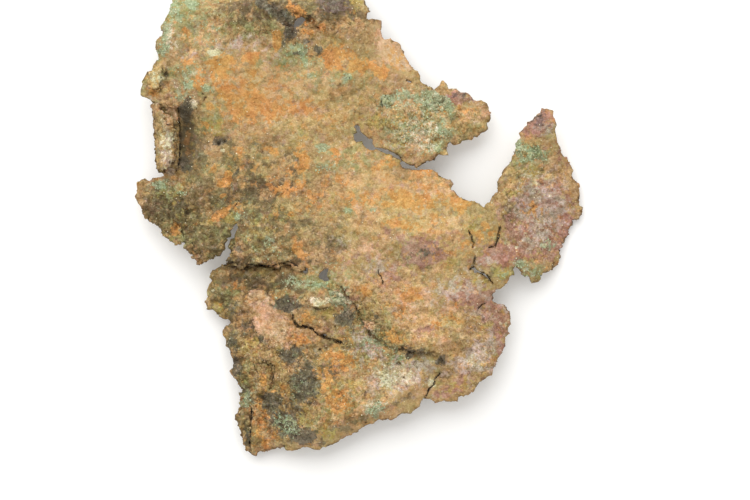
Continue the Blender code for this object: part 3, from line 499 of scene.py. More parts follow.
# %% Set the sheet on the table
SOLID_TOP = CAD_BOX[1].z / MM
RELIEF_ABOVE = 0.45
places = points_of(sheet)
places[:, 2] = np.clip(places[:, 2], 0.0, SOLID_TOP + RELIEF_ABOVE)
sheet.data.vertices.foreach_set("co", (places * MM).astype(np.float32).ravel())
sheet.data.update()
pick(sheet)
bpy.ops.object.shade_smooth()
print("from", round(places[:, 2].min(), 2), "to", round(places[:, 2].max(), 2), "mm high")

# %% [markdown]
# ## Where each crust lies
# The coloured crusts are minerals: orange and ochre iron stain, olive and dark brown oxide,
# mauve cuprite, green verdigris, black tenorite and a little cream lime. Each has a list of the
# places where it grows: middle, half width, half height, how much of the ground it takes there
# and, for a patch that lies askew, its turn in degrees. The places are pushed about by noise so
# that no oval edge is left, and each list becomes an attribute on the mesh, which the material
# reads.

# %% The lists of places, in millimetres
OLIVE = [
    (-15.9, -21.6, 4.2, 1.6, 0.35), (-6.4, 38.3, 2.7, 2.1, 0.22), (-19.9, 40.9, 2.7, 2.1, 0.2),
    (-12.7, 42, 2.7, 2.1, 0.15), (-31.8, -31.9, 2.1, 1.6, 0.2), (-15.9, -21.1, 3.7, 1.6, 0.3),
    (-6.6, 37.2, 3.7, 2.7, 0.2), (-45.1, 48.9, 3.7, 3.7, 0.18), (-6.6, -4.6, 5.3, 3.7, 0.3),
    (-34.5, 58.2, 10.6, 4.8, 0.5), (-8, 59, 8, 3.7, 0.5), (14.6, -39.1, 4.2, 1.3, 0.3, -15),
    (-26, 49.4, 10.1, 4.2, 0.62), (-11.1, 51.5, 9, 3.7, 0.6), (-4, 48.4, 4.8, 4.8, 0.4),
    (-33.9, 43.6, 6.9, 3.2, 0.4), (-45.1, 38.3, 4.2, 3.2, 0.25), (-43.7, 14.4, 3.7, 11.1, 0.55),
    (-38.4, 5.2, 9, 9, 0.5), (-27, 11.8, 6.9, 5.8, 0.35), (-29.2, -2.8, 11.9, 6.9, 0.58),
    (-21.2, -8.3, 9, 5.3, 0.6), (-38.4, -8.1, 8, 5.8, 0.6), (-52.2, -0.9, 6.4, 6.9, 0.75),
    (-43.7, -9.4, 6.9, 4, 0.65, -25), (-33.1, -20.8, 9, 3.4, 0.72), (-15.9, -21.3, 8.5, 2.4, 0.75),
    (-36.3, -26.1, 3.7, 3.4, 0.55), (-15.9, -51.8, 6.9, 8.5, 0.35), (-2.7, -58.4, 8.5, 2.1, 0.6, 22),
    (-33.1, -33.3, 3.2, 3.2, 0.45), (-31.8, -51.8, 2.4, 8, 0.5), (-8, -11, 5.3, 2.9, 0.5),
    (-18.6, 42.3, 4.8, 3.2, 0.3), (-9.3, -36.7, 3.7, 2.4, 0.4), (-3.4, 7, 5.3, 3.7, 0.2),
    (-19.9, 3.8, 5.3, 3.7, 0.25), (-35.8, 14.4, 4.2, 3.7, 0.35), (37.1, -17.4, 3.7, 2.1, 0.5),
    (49, -16.8, 2.7, 2.1, 0.4), (11.9, -39.1, 5.8, 1.3, 0.35, -12), (42.4, 3.8, 3.2, 1.6, 0.25),
    (-15.9, -28.5, 3.7, 1.6, 0.25), (-31.8, 37.8, 4.8, 1.6, 0.2), (-25.2, 19.7, 5.3, 2.1, 0.2),
]
UMBER = [
    (-9.3, -45.4, 4.2, 3.2, 0.22), (-7.2, 52.6, 3.7, 1.9, 0.35), (-6.4, 38.3, 2.7, 2.1, 0.22),
    (-9.3, -44.9, 4.2, 3.2, 0.4), (-18.6, -21.3, 5.8, 1.9, 0.35), (-7.2, 52.3, 4.2, 2.1, 0.35),
    (-20.1, 50.5, 2.7, 4.2, 0.25), (-5.3, -16.8, 2.7, 1.3, 0.2), (-9.3, -44.9, 3.7, 3.2, 0.35),
    (-15.9, 11.8, 5.8, 3.7, 0.18), (-19.6, -26.4, 2.1, 1.6, 0.6), (-7.2, 52.3, 3.7, 1.9, 0.35),
    (-15.9, 11.8, 5.8, 3.2, 0.18), (-6.6, -4.1, 4.2, 2.7, 0.22), (4, -18.7, 5.3, 2.4, 0.2),
    (-19.6, -26.6, 3.2, 2.1, 0.6), (39.8, -0.1, 1.9, 4.8, 0.35), (-15.9, 11.8, 4.8, 2.7, 0.22),
    (-9, -45.4, 3.7, 3.2, 0.38), (18.6, -32.2, 3.7, 2.1, 0.2), (-23.9, 59.5, 6.9, 4.2, 0.5),
    (45.1, 15.5, 3.2, 1.6, 0.4), (45.8, -18.4, 3.2, 1.9, 0.4), (-50.9, -0.4, 6.9, 5, 0.75),
    (-43.7, -7.3, 5.3, 3.7, 0.45, -20), (-37.1, 2.5, 5.8, 4.8, 0.38), (-26, 3.8, 9.5, 5.8, 0.6),
    (-26, 51, 13.2, 4, 0.6), (-4, 49.4, 7.4, 5.3, 0.5), (-27, -20.3, 12.7, 2.4, 0.75),
    (-36.6, -29.5, 3.7, 4.8, 0.5), (-33.4, -39.1, 2.4, 8, 0.55), (-29.9, -61.1, 1.6, 6.9, 0.5),
    (-31.8, -15.2, 8, 2.1, 0.6), (-15.9, -15.2, 6.9, 2.1, 0.5), (-45.6, 16.6, 2.7, 9, 0.92),
    (-41.1, 14.4, 2.7, 4.2, 0.35), (-47.7, 39.6, 4.2, 3.7, 0.15), (-8, -11.5, 5.8, 3.2, 0.4),
    (15.9, -13.6, 6.9, 3.7, 0.5), (-26, -36.4, 3.2, 2.1, 0.5), (-15.9, -37.2, 6.9, 2.1, 0.4, -30),
    (-15.9, 7, 6.4, 3.2, 0.35), (-15.9, -5.4, 6.9, 4.2, 0.35), (-27, 11.8, 5.3, 3.2, 0.35),
    (14.6, -38.6, 4.2, 1.9, 0.45, -10), (22.5, -44.4, 1.9, 4.2, 0.4, -20),
    (-13.2, -62.9, 5.8, 1.9, 0.55), (9.3, -52.6, 10.6, 1.3, 0.45, 20), (38.4, -1.5, 2.1, 3.2, 0.35),
    (-8, -33.3, 4.8, 2.1, 0.3, -30), (-35.8, 17.1, 3.2, 2.1, 0.5), (-13.2, 39.6, 6.9, 2.1, 0.45),
    (-6.6, 32.5, 4.2, 1.9, 0.35), (0.5, 34.6, 3.7, 2.1, 0.3), (37.1, -18.7, 3.2, 1.3, 0.5, -20),
    (29.2, -16, 1.6, 2.1, 0.3), (42.9, -34.6, 1.3, 4.2, 0.3),
]
TAN = [
    (46.4, 7.3, 4.2, 2.4, 0.4), (46.4, 7.3, 4.8, 2.7, 0.35), (-11.1, -28.5, 3.2, 1.9, 0.35),
    (-5.8, -51.8, 3.7, 2.4, 0.25), (-32.9, -21.6, 3.7, 2.1, 0.3), (-5.8, -51.8, 3.7, 2.4, 0.25),
    (-43.7, 49.4, 5.3, 3.7, 0.12), (18.6, 25.6, 4.2, 2.1, 0.25), (45.6, 6, 4.8, 2.7, 0.25),
    (45.1, -0.4, 4.2, 2.7, 0.25), (-31.8, -0.1, 4.8, 2.7, 0.3), (-5.8, 38.3, 3.2, 2.7, 0.25),
    (-38.4, 34.6, 3.7, 2.7, 0.2), (19.1, 15, 4.8, 1.9, 0.35), (46.4, 7, 5.3, 2.7, 0.4),
    (45.6, -0.1, 5.3, 3.2, 0.35), (-53.8, 33.5, 2.4, 2.7, 0.45), (-19.9, -2.5, 6.9, 4.2, 0.4),
    (8.5, -45.4, 6.4, 3.7, 0.3), (20.1, 26.1, 4.2, 2.1, 0.25), (-19.1, -43.9, 3.7, 4.2, 0.25),
    (18.6, 20.3, 10.6, 5.8, 0.35), (46.4, 7.6, 5.3, 3.2, 0.4), (45.1, -0.1, 4.8, 3.2, 0.25),
    (-53.8, 33, 2.7, 3.7, 0.45), (-27, 27.7, 8, 4.2, 0.25), (-13.2, 22.9, 6.4, 2.7, 0.25),
    (8.5, -45.4, 7.4, 4.2, 0.55), (4, -52.9, 4.2, 2.1, 0.4, 20), (-26, -58.4, 3.2, 3.7, 0.25),
    (14.6, 19.7, 6.4, 4.2, 0.35), (18.6, 14.4, 5.3, 1.6, 0.35), (46.4, 7, 5.3, 2.7, 0.3),
    (-38.4, 59.5, 4.2, 3.2, 0.4), (-15.9, 57.4, 4.8, 2.7, 0.3), (-5.3, 62.1, 4.2, 2.7, 0.35),
    (21.2, 19.2, 11.7, 5.8, 0.35), (-5.8, -52.3, 8, 4.8, 0.5, 15), (-15.9, -58.4, 5.8, 3.2, 0.45),
    (21.2, -17.4, 8, 3.7, 0.25), (9.3, -37.2, 5.3, 3.7, 0.35), (-15.9, 33, 12.7, 2.4, 0.75, 4),
    (-23.9, 28.2, 13.2, 3.7, 0.75), (-6.6, 25.6, 9.3, 4.8, 0.6), (-18.6, 21.9, 11.1, 3.7, 0.6),
    (2.7, 6, 8.5, 4.8, 0.65), (15.9, 3.8, 11.7, 4.5, 0.75, -12), (-2.1, -2.8, 8, 5.3, 0.35),
    (11.9, -3.6, 12.2, 5.3, 0.6), (25.2, -6.2, 8, 4.2, 0.55), (6.6, -21.3, 11.7, 5.8, 0.5),
    (18.6, -31.9, 9.5, 5.3, 0.55), (-9.3, -43.9, 5.3, 6.4, 0.1), (-2.7, 14.4, 4.2, 4.2, 0.6),
    (-33.1, 33, 6.6, 4.2, 0.35), (-41.1, 42.3, 8, 4.8, 0.4), (13.2, 24.5, 8.5, 3.7, 0.35),
    (18.6, 14.4, 6.6, 2.4, 0.5), (29.2, 22.9, 4.2, 3.7, 0.5), (45.6, 7, 7.4, 3.4, 0.65),
    (41.1, 3.3, 4.8, 2.4, 0.35), (-51.1, 17.1, 2.4, 9, 0.65), (-53.5, 33.5, 2.4, 4.2, 0.4, -30),
    (-26, 35.1, 5.8, 1.9, 0.55), (-45.1, 46.2, 5.8, 6.9, 0.4), (10.6, -43.9, 6.9, 5.8, 0.55),
    (2.7, -50.5, 6.4, 3.7, 0.45, 20), (-4, -53.1, 5.8, 3.7, 0.45, 20), (53, 3.8, 3.7, 3.7, 0.4),
    (30.5, -42.5, 5.3, 4.2, 0.5), (49, -5.4, 4.8, 4.2, 0.3), (21.2, -13.4, 8, 4.2, 0.25),
    (31.8, -35.9, 4.8, 3.2, 0.35), (-10.6, -57.1, 5.3, 2.7, 0.35, 15),
]
MOSS = [
    (-42.4, 58.2, 5.3, 5.3, 0.5), (-18.6, 60, 10.6, 3.7, 0.35), (-46.4, 48.4, 8, 9, 0.55),
    (-45.1, 32.5, 6.9, 4.8, 0.45), (-30.5, -7.3, 13.2, 6.4, 0.28), (15.9, 19.7, 13.8, 6.9, 0.32),
    (-2.7, -0.7, 9.5, 2.7, 0.2), (-10.6, -20, 8, 2.7, 0.5), (3.2, -35.4, 7.4, 6.4, 0.4),
    (-4, -51.8, 10.6, 4.8, 0.32, 15), (-34.5, -23.2, 5.3, 2.7, 0.4), (-18, 37.8, 8, 3.7, 0.45),
    (-38.4, 21.9, 5.3, 3.7, 0.4), (46.4, -17.4, 4.2, 2.7, 0.6), (-51.7, 3, 5.3, 3.2, 0.45),
    (-47.7, -9.9, 5.3, 3.2, 0.45, -25), (45.1, 11.3, 5.3, 3.2, 0.45), (-54.3, 33, 3.7, 4.8, 0.1, -30),
    (-8, 33, 10.6, 2.4, 0.35), (-1.3, 11.8, 5.3, 3.2, 0.35), (-29.2, 46.2, 10.6, 5.3, 0.35),
    (-6.6, 11.8, 4.8, 3.2, 0.35), (-15.9, -58.4, 6.4, 3.2, 0.4), (-30.5, -46.5, 3.7, 8, 0.35),
    (10.6, -42.5, 6.9, 3.7, 0.35), (37.1, -33.3, 3.2, 4.2, 0.35), (38.4, -17.9, 3.7, 1.9, 0.5),
]
YELLOW = [
    (46.4, 7.6, 3.7, 2.4, 0.25), (-19.9, -4.1, 3.7, 2.1, 0.25), (-44.3, 14.4, 1.6, 3.7, 0.3),
    (44.5, 8.6, 2.7, 1.6, 0.35), (10.6, 18.4, 4.2, 2.7, 0.3), (46.4, -18.4, 3.2, 2.1, 0.4),
    (-19.6, -26.9, 2.1, 1.9, 0.3), (-26.5, 56.3, 2.7, 2.1, 0.3), (-38.4, 20.3, 2.4, 3.2, 0.75),
    (-34.7, -3.6, 2.4, 1.9, 0.75), (34.5, -33.3, 4.8, 2.4, 0.55), (3.2, 21.9, 3.7, 2.4, 0.6),
    (-37.6, -27.2, 1.9, 1.9, 0.85), (37.6, -17.9, 3.2, 1.9, 0.75), (-1.1, 52.1, 3.2, 2.1, 0.55),
    (-28.9, -37.8, 2.7, 3.2, 0.6), (-8, -29, 2.7, 1.9, 0.6), (-3.2, -49.2, 4.2, 3.7, 0.45),
    (31.8, -20, 2.1, 1.9, 0.7), (23.1, -14.7, 2.1, 1.9, 0.7), (27.3, -47.3, 5, 1.9, 0.55, 20),
    (-7.4, -61.3, 3.2, 1.6, 0.5, 15), (46.6, 8.6, 2.1, 1.3, 0.55), (40, 3.8, 2.4, 1.6, 0.5),
    (11.1, 20.8, 2.7, 1.9, 0.45), (30.5, -5.2, 2.7, 2.4, 0.5), (-49, -0.1, 2.7, 3.2, 0.25),
    (-39.8, -4.1, 3.2, 1.6, 0.35, 30), (-8, -0.1, 4.8, 3.2, 0.3), (-14.6, -56.6, 6.4, 3.2, 0.35),
    (-26, -6.2, 5.3, 3.2, 0.3), (-4, 35.6, 4.2, 2.1, 0.35), (-10.6, -59.8, 5.3, 2.4, 0.3, 15),
    (-15.9, 19.7, 5.3, 2.1, 0.25), (-10.6, -50.5, 3.7, 3.7, 0.2), (9.3, 14.4, 5.3, 2.7, 0.3),
]
PINK = [
    (46.4, 7, 3.7, 2.1, 0.2), (-5.8, -51.3, 3.2, 1.9, 0.25), (-15.9, 23.7, 5.3, 2.7, 0.3),
    (-27.8, 27.7, 5.3, 3.2, 0.2), (15.9, -6.8, 11.1, 3.7, 0.22), (-53.8, 33, 2.1, 2.7, 0.25),
    (-6.6, -51.8, 3.7, 2.4, 0.3), (-4, 59.5, 3.2, 2.1, 0.3), (-26.2, -25.3, 4, 2.9, 0.9, -25),
    (-24.4, -31.9, 5.3, 4.8, 0.75), (-18.6, -35.4, 3.7, 2.9, 0.5), (10.1, 38.8, 4.8, 4, 0.85, -50),
    (6.6, 44.1, 2.4, 4.2, 0.9), (3.2, -19.2, 9, 3.2, 0.35), (11.9, -24.2, 9, 3.7, 0.55),
    (19.3, -35.9, 5.8, 2.7, 0.45), (2.7, -31.4, 1.6, 0.9, 0.95, -20), (3.2, -34.8, 0.8, 0.5, 0.95),
    (9.3, 3.8, 6.9, 3.2, 0.3), (21.2, 2.5, 5.8, 2.4, 0.35), (-49.8, 24.5, 2.1, 2.1, 0.4),
    (1.3, -12.1, 6.9, 3.2, 0.4), (23.9, -21.3, 5.3, 3.2, 0.3), (47.7, 3.8, 5.8, 3.7, 0.35),
    (49, -4.6, 5.3, 3.7, 0.3), (10.6, -47.8, 5.3, 3.2, 0.3), (31.8, -42.5, 4.2, 3.2, 0.3),
    (-23.9, -51.8, 4.2, 3.7, 0.3), (-19.9, -37.2, 5.3, 3.2, 0.3), (17.2, -2.8, 6.9, 3.2, 0.25),
    (30.5, 23.7, 3.7, 2.7, 0.35), (25.2, -26.6, 5.3, 2.7, 0.25),
]
CUPRITE = [
    (17, -12.6, 4.8, 2.4, 0.35), (-9.3, -44.9, 3.7, 2.7, 0.3), (16.4, -12.6, 4.2, 2.4, 0.25),
    (26.5, -22.1, 4.8, 2.7, 0.35), (4, -19.2, 4.8, 2.4, 0.22), (25.7, 28.2, 3.2, 2.1, 0.5),
    (18.6, -32.2, 4.2, 2.4, 0.4), (42.4, -8.1, 3.7, 2.7, 0.35), (-22.5, 62.1, 3.7, 2.1, 0.3),
    (16.7, -12.6, 5.8, 3.4, 0.8), (32.3, -25.8, 6.9, 4, 0.85, -20), (37.6, -34.6, 2.9, 4.2, 0.5),
    (47.2, -3.6, 9, 9, 0.85, -15), (53.5, -8.1, 3.4, 5.8, 0.55), (39.2, -12.6, 5.3, 2.4, 0.8),
    (27, 28.8, 3.7, 2.1, 0.75), (47.2, 21.9, 3.7, 4, 0.85), (53.5, 13.9, 1.9, 3.2, 0.4, 30),
    (22.5, -49.7, 4.2, 1.9, 0.5), (38.4, -39.1, 1.6, 4.8, 0.55, 15), (49, 1.2, 7.4, 4.8, 0.6),
    (37.1, -13.4, 6.9, 2.7, 0.85), (10.6, -17.9, 6.4, 2.7, 0.35), (-15.9, 10.5, 4.2, 5.3, 0.22),
    (-2.7, -25.3, 3.7, 2.4, 0.35), (-27, -25.3, 2.1, 1.6, 0.2), (0, -15.2, 6.4, 2.7, 0.25),
    (-5.3, -34.6, 4.2, 3.2, 0.3), (29.2, -46.5, 5.8, 2.1, 0.35, 20), (50.4, -12.1, 5.3, 3.2, 0.5),
    (25.2, -9.4, 5.3, 2.7, 0.25), (-24.4, -44.4, 5.3, 3.2, 0.15), (10.6, -8.1, 5.3, 2.7, 0.25),
]
LILAC = [
    (47.7, -8.1, 4.8, 3.2, 0.15), (-26, 38.3, 8, 3.2, 0.1), (31.8, -30.6, 4.2, 3.7, 0.25),
    (14.6, 17.1, 6.4, 4.2, 0.18), (2.7, -37.2, 3.2, 2.7, 0.22), (46.4, -8.1, 5.3, 4.8, 0.3),
    (29.2, -41.2, 4.2, 3.2, 0.25), (-53.8, 33, 2.1, 3.2, 0.2), (33.9, -38.6, 3.4, 5.8, 0.6),
    (49, 6.5, 6.4, 4.2, 0.18), (0.5, -37.2, 4.2, 5.3, 0.45), (26.5, -21.3, 5.8, 3.7, 0.42),
    (9.3, -46.5, 8, 4.8, 0.5), (30.7, -39.1, 2.4, 2.4, 0.65), (32.3, -15.2, 4, 2.7, 0.55),
    (-45.1, 39.6, 3.2, 2.4, 0.35), (37.1, -26.1, 3.7, 2.4, 0.45), (11.9, -41.7, 6.4, 2.7, 0.5),
    (47.7, -0.1, 8, 6.9, 0.6), (50.9, -2.8, 4.2, 2.9, 0.5), (49, 19.7, 2.7, 2.4, 0.4),
    (-23.3, 39.9, 3.7, 2.7, 0.2), (-29.9, 43.1, 3.7, 1.9, 0.5), (-4, -29, 1.6, 2.1, 0.35),
    (-51.1, 14.4, 2.1, 6.9, 0.6), (-5.3, -9.4, 4.8, 2.4, 0.25), (21.2, -24.2, 6.9, 3.7, 0.3),
    (5.3, -16, 5.8, 2.7, 0.35), (-35.8, 41.5, 5.3, 2.7, 0.35), (26.5, -42.5, 4.8, 3.7, 0.4),
    (50.4, -9.4, 4.2, 2.7, 0.35), (17.2, -43.9, 4.2, 3.7, 0.45), (-15.9, -39.9, 4.2, 5.3, 0.2),
    (29.2, 27.7, 2.7, 1.6, 0.35), (53, 3.8, 2.7, 3.2, 0.3),
]
ORANGE = [
    (19.1, -13.6, 3.7, 2.1, 0.2), (-5.8, -52.1, 3.2, 2.1, 0.25), (-17, 51, 2.4, 1.3, 0.6, -30),
    (-13.5, 48.1, 2.1, 1.1, 0.6, -25), (45.1, 12.3, 2.1, 1.1, 0.35), (-15.9, -2.5, 2.7, 1.6, 0.25),
    (-5.8, -52.3, 3.7, 2.1, 0.3), (47.7, -1.5, 2.7, 1.9, 0.25), (-6.4, -51.8, 4.2, 2.7, 0.35),
    (-33.1, -21.6, 3.2, 2.1, 0.25), (-19.9, -2, 3.2, 2.4, 0.35), (45.6, -0.4, 3.2, 2.4, 0.25),
    (-27, -58.2, 1.9, 2.7, 0.35), (18.6, 1.2, 11.7, 4.2, 0.22), (-45.6, 19.5, 0.8, 2.9, 0.6),
    (-45.1, 13.1, 1.1, 2.1, 0.3), (-20.4, -58.4, 4.2, 3.7, 0.22), (-9.3, -44.4, 4.2, 3.2, 0.25),
    (-6.4, -52.3, 3.2, 2.1, 0.25), (4, -19.2, 3.7, 2.1, 0.25), (-10.6, -59.8, 4.8, 2.1, 0.25, 15),
    (26.5, 25, 3.7, 2.4, 0.35), (-29.2, 28.2, 10.6, 6.9, 0.3), (-13.2, 23.7, 9, 4.2, 0.2),
    (-4, 37.8, 6.4, 4.2, 0.2), (-38.4, 34.3, 5.8, 4.2, 0.35), (15.9, 3.8, 10.6, 4.8, 0.2),
    (-23.9, 7.8, 10.6, 5.3, 0.25), (10.1, 38.8, 3.7, 3.2, 0.35, -50), (-33.1, -0.4, 3.7, 2.4, 0.3),
    (-6.4, -51.8, 3.7, 2.4, 0.38), (-14.6, 57.9, 2.4, 2.1, 0.7), (-31.8, 60, 2.9, 1.6, 0.6),
    (-2.7, 61.3, 2.7, 1.6, 0.5), (-33.9, -22.1, 2.7, 1.6, 0.3), (-42.4, 60.8, 1.6, 1.3, 0.6),
    (8, 1.2, 5.3, 2.1, 0.3), (18.6, -5.4, 4.8, 2.1, 0.25), (-45.6, 45.4, 1.1, 1.3, 0.55),
    (-45.8, 37.8, 1.6, 1.3, 0.55), (-35.5, 38.3, 4.5, 1.6, 0.55), (-37.1, 35.4, 2.1, 1.9, 0.8),
    (-42.7, 31.7, 2.1, 1.6, 0.95), (-35, 29.8, 2.7, 2.1, 0.6), (-28.4, 38.3, 2.4, 1.3, 0.9),
    (-28.1, 34.1, 0.9, 1.1, 0.9), (-27, 26.1, 6.4, 4.2, 0.5), (-39.8, 25.8, 0.9, 0.9, 0.8),
    (-21.7, 42.8, 1.6, 2.1, 0.8), (-7.2, 38.8, 3.4, 3.2, 0.75), (-14, 45.4, 1.9, 1.3, 0.9),
    (-17, 51, 2.1, 1.3, 1, -30), (-10.1, 46.2, 1.1, 2.1, 0.65, 15), (5.3, 34.8, 2.1, 1.9, 0.65),
    (0.5, 36.7, 4.2, 2.1, 0.5), (-40.8, 20.3, 1.6, 1.9, 0.6), (-35.2, 6.8, 2.1, 1.9, 0.98),
    (-37.1, -2.5, 2.9, 1.2, 0.95, 35), (-35.8, 2.5, 0.8, 0.8, 0.8), (-15.1, 12.3, 2.9, 4.2, 0.65),
    (-23.6, 13.9, 2.1, 1.6, 0.6), (-6.6, 13.6, 1.3, 1.9, 0.6), (-39.8, 9.9, 1.3, 1.3, 0.5),
    (-15.6, -13.1, 1.6, 2.7, 0.95, 35), (26.8, -0.1, 2.4, 1.6, 0.8), (17.2, 8.6, 3.4, 1.3, 0.5),
    (11.9, 2, 2.4, 1.6, 0.65), (-0.3, 1.2, 3.7, 2.4, 0.5), (10.6, -5.2, 4, 2.4, 0.5),
    (33.4, -7.8, 3.2, 2.4, 0.5), (14, -23.7, 3.4, 1.9, 0.5), (1.6, -22.7, 1.9, 1.6, 0.65),
    (25.2, -26.1, 1.6, 1.1, 0.6), (22.5, -31.1, 3.7, 2.4, 0.45), (-22.8, -24.8, 0.8, 1.1, 0.85),
    (9.3, -34.3, 2.9, 1.9, 0.65, -30), (-8, -39.9, 2.7, 2.1, 0.55), (-4, -41.7, 3.7, 2.9, 0.45),
    (-22.3, -49.7, 4, 2.1, 0.45, 25), (-26.2, -55, 2.4, 3.2, 0.5), (-25.2, -61.9, 3.7, 2.9, 0.35),
    (-22.5, -56.3, 1.6, 1.3, 0.8), (-25.4, -46.8, 1.3, 2.4, 0.85), (-13.8, -30.1, 2.7, 1.3, 0.6),
    (-45.6, 15.8, 1.1, 2.7, 0.5), (-49.3, -6.8, 1.3, 2.4, 0.65, -30), (-36.6, -26.1, 0.8, 0.8, 0.6),
    (-55.7, 29.8, 1.6, 0.8, 0.6, -20), (-31.8, 14.4, 2.7, 2.1, 0.35), (-18.6, 4.4, 4.8, 2.4, 0.45),
    (23.9, -12.1, 5.3, 1.6, 0.2), (-15.9, 26.1, 5.3, 2.4, 0.4), (6.6, 10.5, 3.7, 2.1, 0.4),
    (-5.3, 6.5, 4.2, 3.2, 0.3), (-11.9, 1.2, 3.7, 3.2, 0.3), (-15.9, -35.9, 2.7, 4.2, 0.45, 40),
    (-9.3, -46.5, 3.2, 3.2, 0.4), (-31.8, 23.7, 2.7, 3.7, 0.3), (15.9, -0.1, 3.7, 1.6, 0.4),
    (29.2, -10.7, 2.7, 1.6, 0.35), (9.3, -28, 4.8, 2.4, 0.35), (-4, -35.9, 2.7, 1.6, 0.4),
    (-19.9, 35.6, 2.1, 1.6, 0.25),
]
PLUM = [
    (26.5, -21.3, 2.9, 1.9, 0.22), (-7.2, 52.9, 3.2, 1.6, 0.35), (-26, 59, 2.4, 3.2, 0.6),
    (-15.9, 61.6, 2.7, 1.6, 0.35), (-25.4, 53.1, 1.9, 1.9, 0.9, 30), (-23.1, 51, 1.6, 2.1, 0.9, 40),
    (-20.7, 48.4, 1.6, 2.1, 0.9, 40), (-18.6, 45.7, 1.9, 1.6, 0.9, 30), (-7.2, 53.1, 3.7, 2.1, 0.8),
    (27, 29, 3.4, 1.9, 0.6), (47.2, 22.9, 3.2, 3.2, 0.55), (-39.2, 40.4, 3.7, 2.1, 0.3),
    (47.7, 3.8, 2.1, 1.3, 0.35), (-45.6, 25.8, 1.9, 2.1, 0.5), (-27.8, 15.8, 1.6, 1.1, 0.4),
    (-20.7, 16, 1.6, 1.1, 0.4), (18.6, -12.1, 3.7, 2.1, 0.45), (-33.9, -31.9, 2.7, 2.1, 0.4),
    (-15.9, 7.8, 4.2, 2.1, 0.25), (-5.3, 52.1, 5.3, 2.7, 0.5),
]
TENORITE = [
    (-45.1, 10.5, 2.1, 2.7, 0.4), (-27.8, 57.4, 2.7, 3.2, 0.6), (-18.6, 55.8, 2.1, 2.1, 0.55),
    (-25.4, 53.1, 1.9, 1.9, 0.75, 30), (-23.1, 51, 1.9, 2.4, 0.75, 40),
    (-20.7, 48.4, 1.9, 2.4, 0.75, 40), (-18.3, 45.4, 2.1, 1.9, 0.75, 30), (-19.3, 49.4, 2.4, 1.9, 0.6),
    (-7.2, 53.1, 3.7, 1.9, 0.55), (-46.4, 24.5, 2.1, 2.4, 0.8), (-45.8, 15.5, 1.6, 6.4, 0.15),
    (-45.6, 25.8, 1.9, 2.7, 0.7), (-47.2, 10.2, 2.1, 2.4, 0.6), (-14.3, 42.3, 1.3, 1.1, 0.8),
    (-11.1, 40.9, 1.1, 1.3, 0.8), (-15.9, 39.1, 1.3, 0.8, 0.7), (-19.6, 42.5, 0.8, 1.1, 0.7),
    (-3.7, 33, 1.1, 1.1, 0.65), (-14.3, 31.9, 0.8, 0.8, 0.55), (-19.6, -26.6, 3.7, 2.1, 0.9),
    (-18.6, -39.6, 3.7, 2.4, 0.82), (-15.1, -47.6, 4, 6.4, 0.84, -10), (-23.6, -52.1, 2.7, 3.2, 0.85),
    (-20.4, -57.6, 4.2, 4.5, 0.76, -20), (-15.4, -61.6, 5.3, 2.7, 0.8), (-33.7, -37.5, 2.1, 2.4, 0.8),
    (-30.5, -32.5, 3.2, 3.2, 0.48), (-32.9, -43.3, 1.9, 2.9, 0.85), (-4, -29.8, 2.9, 2.7, 0.8),
    (21.7, -41.2, 1.3, 2.1, 0.8, -15), (13.8, -38.3, 3.7, 1.3, 0.5, -10), (12.7, -40.1, 1.1, 1.1, 0.8),
    (-32.9, 8.6, 1.3, 1.9, 0.5), (-34.2, -27.4, 2.7, 2.4, 0.45), (-37.4, 16.3, 2.1, 1.1, 0.95, 20),
    (-20.7, 15.8, 1.6, 1.1, 0.4), (-27.8, 15.8, 1.1, 0.8, 0.45), (-30.5, 7, 1.9, 1.9, 0.35),
    (-31.5, -11, 2.7, 1.6, 0.5), (-35.8, -15.2, 2.9, 1.3, 0.6), (-4, -37.2, 2.1, 2.1, 0.3),
    (-3.4, -29, 1.3, 1.9, 0.4), (4, -29.8, 1.6, 1.1, 0.65), (-26.5, -36.4, 1.3, 1.3, 0.6),
    (-29.9, -50.5, 1.6, 2.4, 0.5), (-46.4, 22.4, 1.6, 2.7, 0.45), (15.9, -12.6, 3.2, 1.9, 0.4),
    (-29.9, -62.4, 0.8, 3.7, 0.75), (-8, -12.1, 2.7, 2.1, 0.25), (-34.5, -20.5, 5.3, 2.1, 0.25),
    (-15.9, 48.9, 4.2, 3.2, 0.25),
]
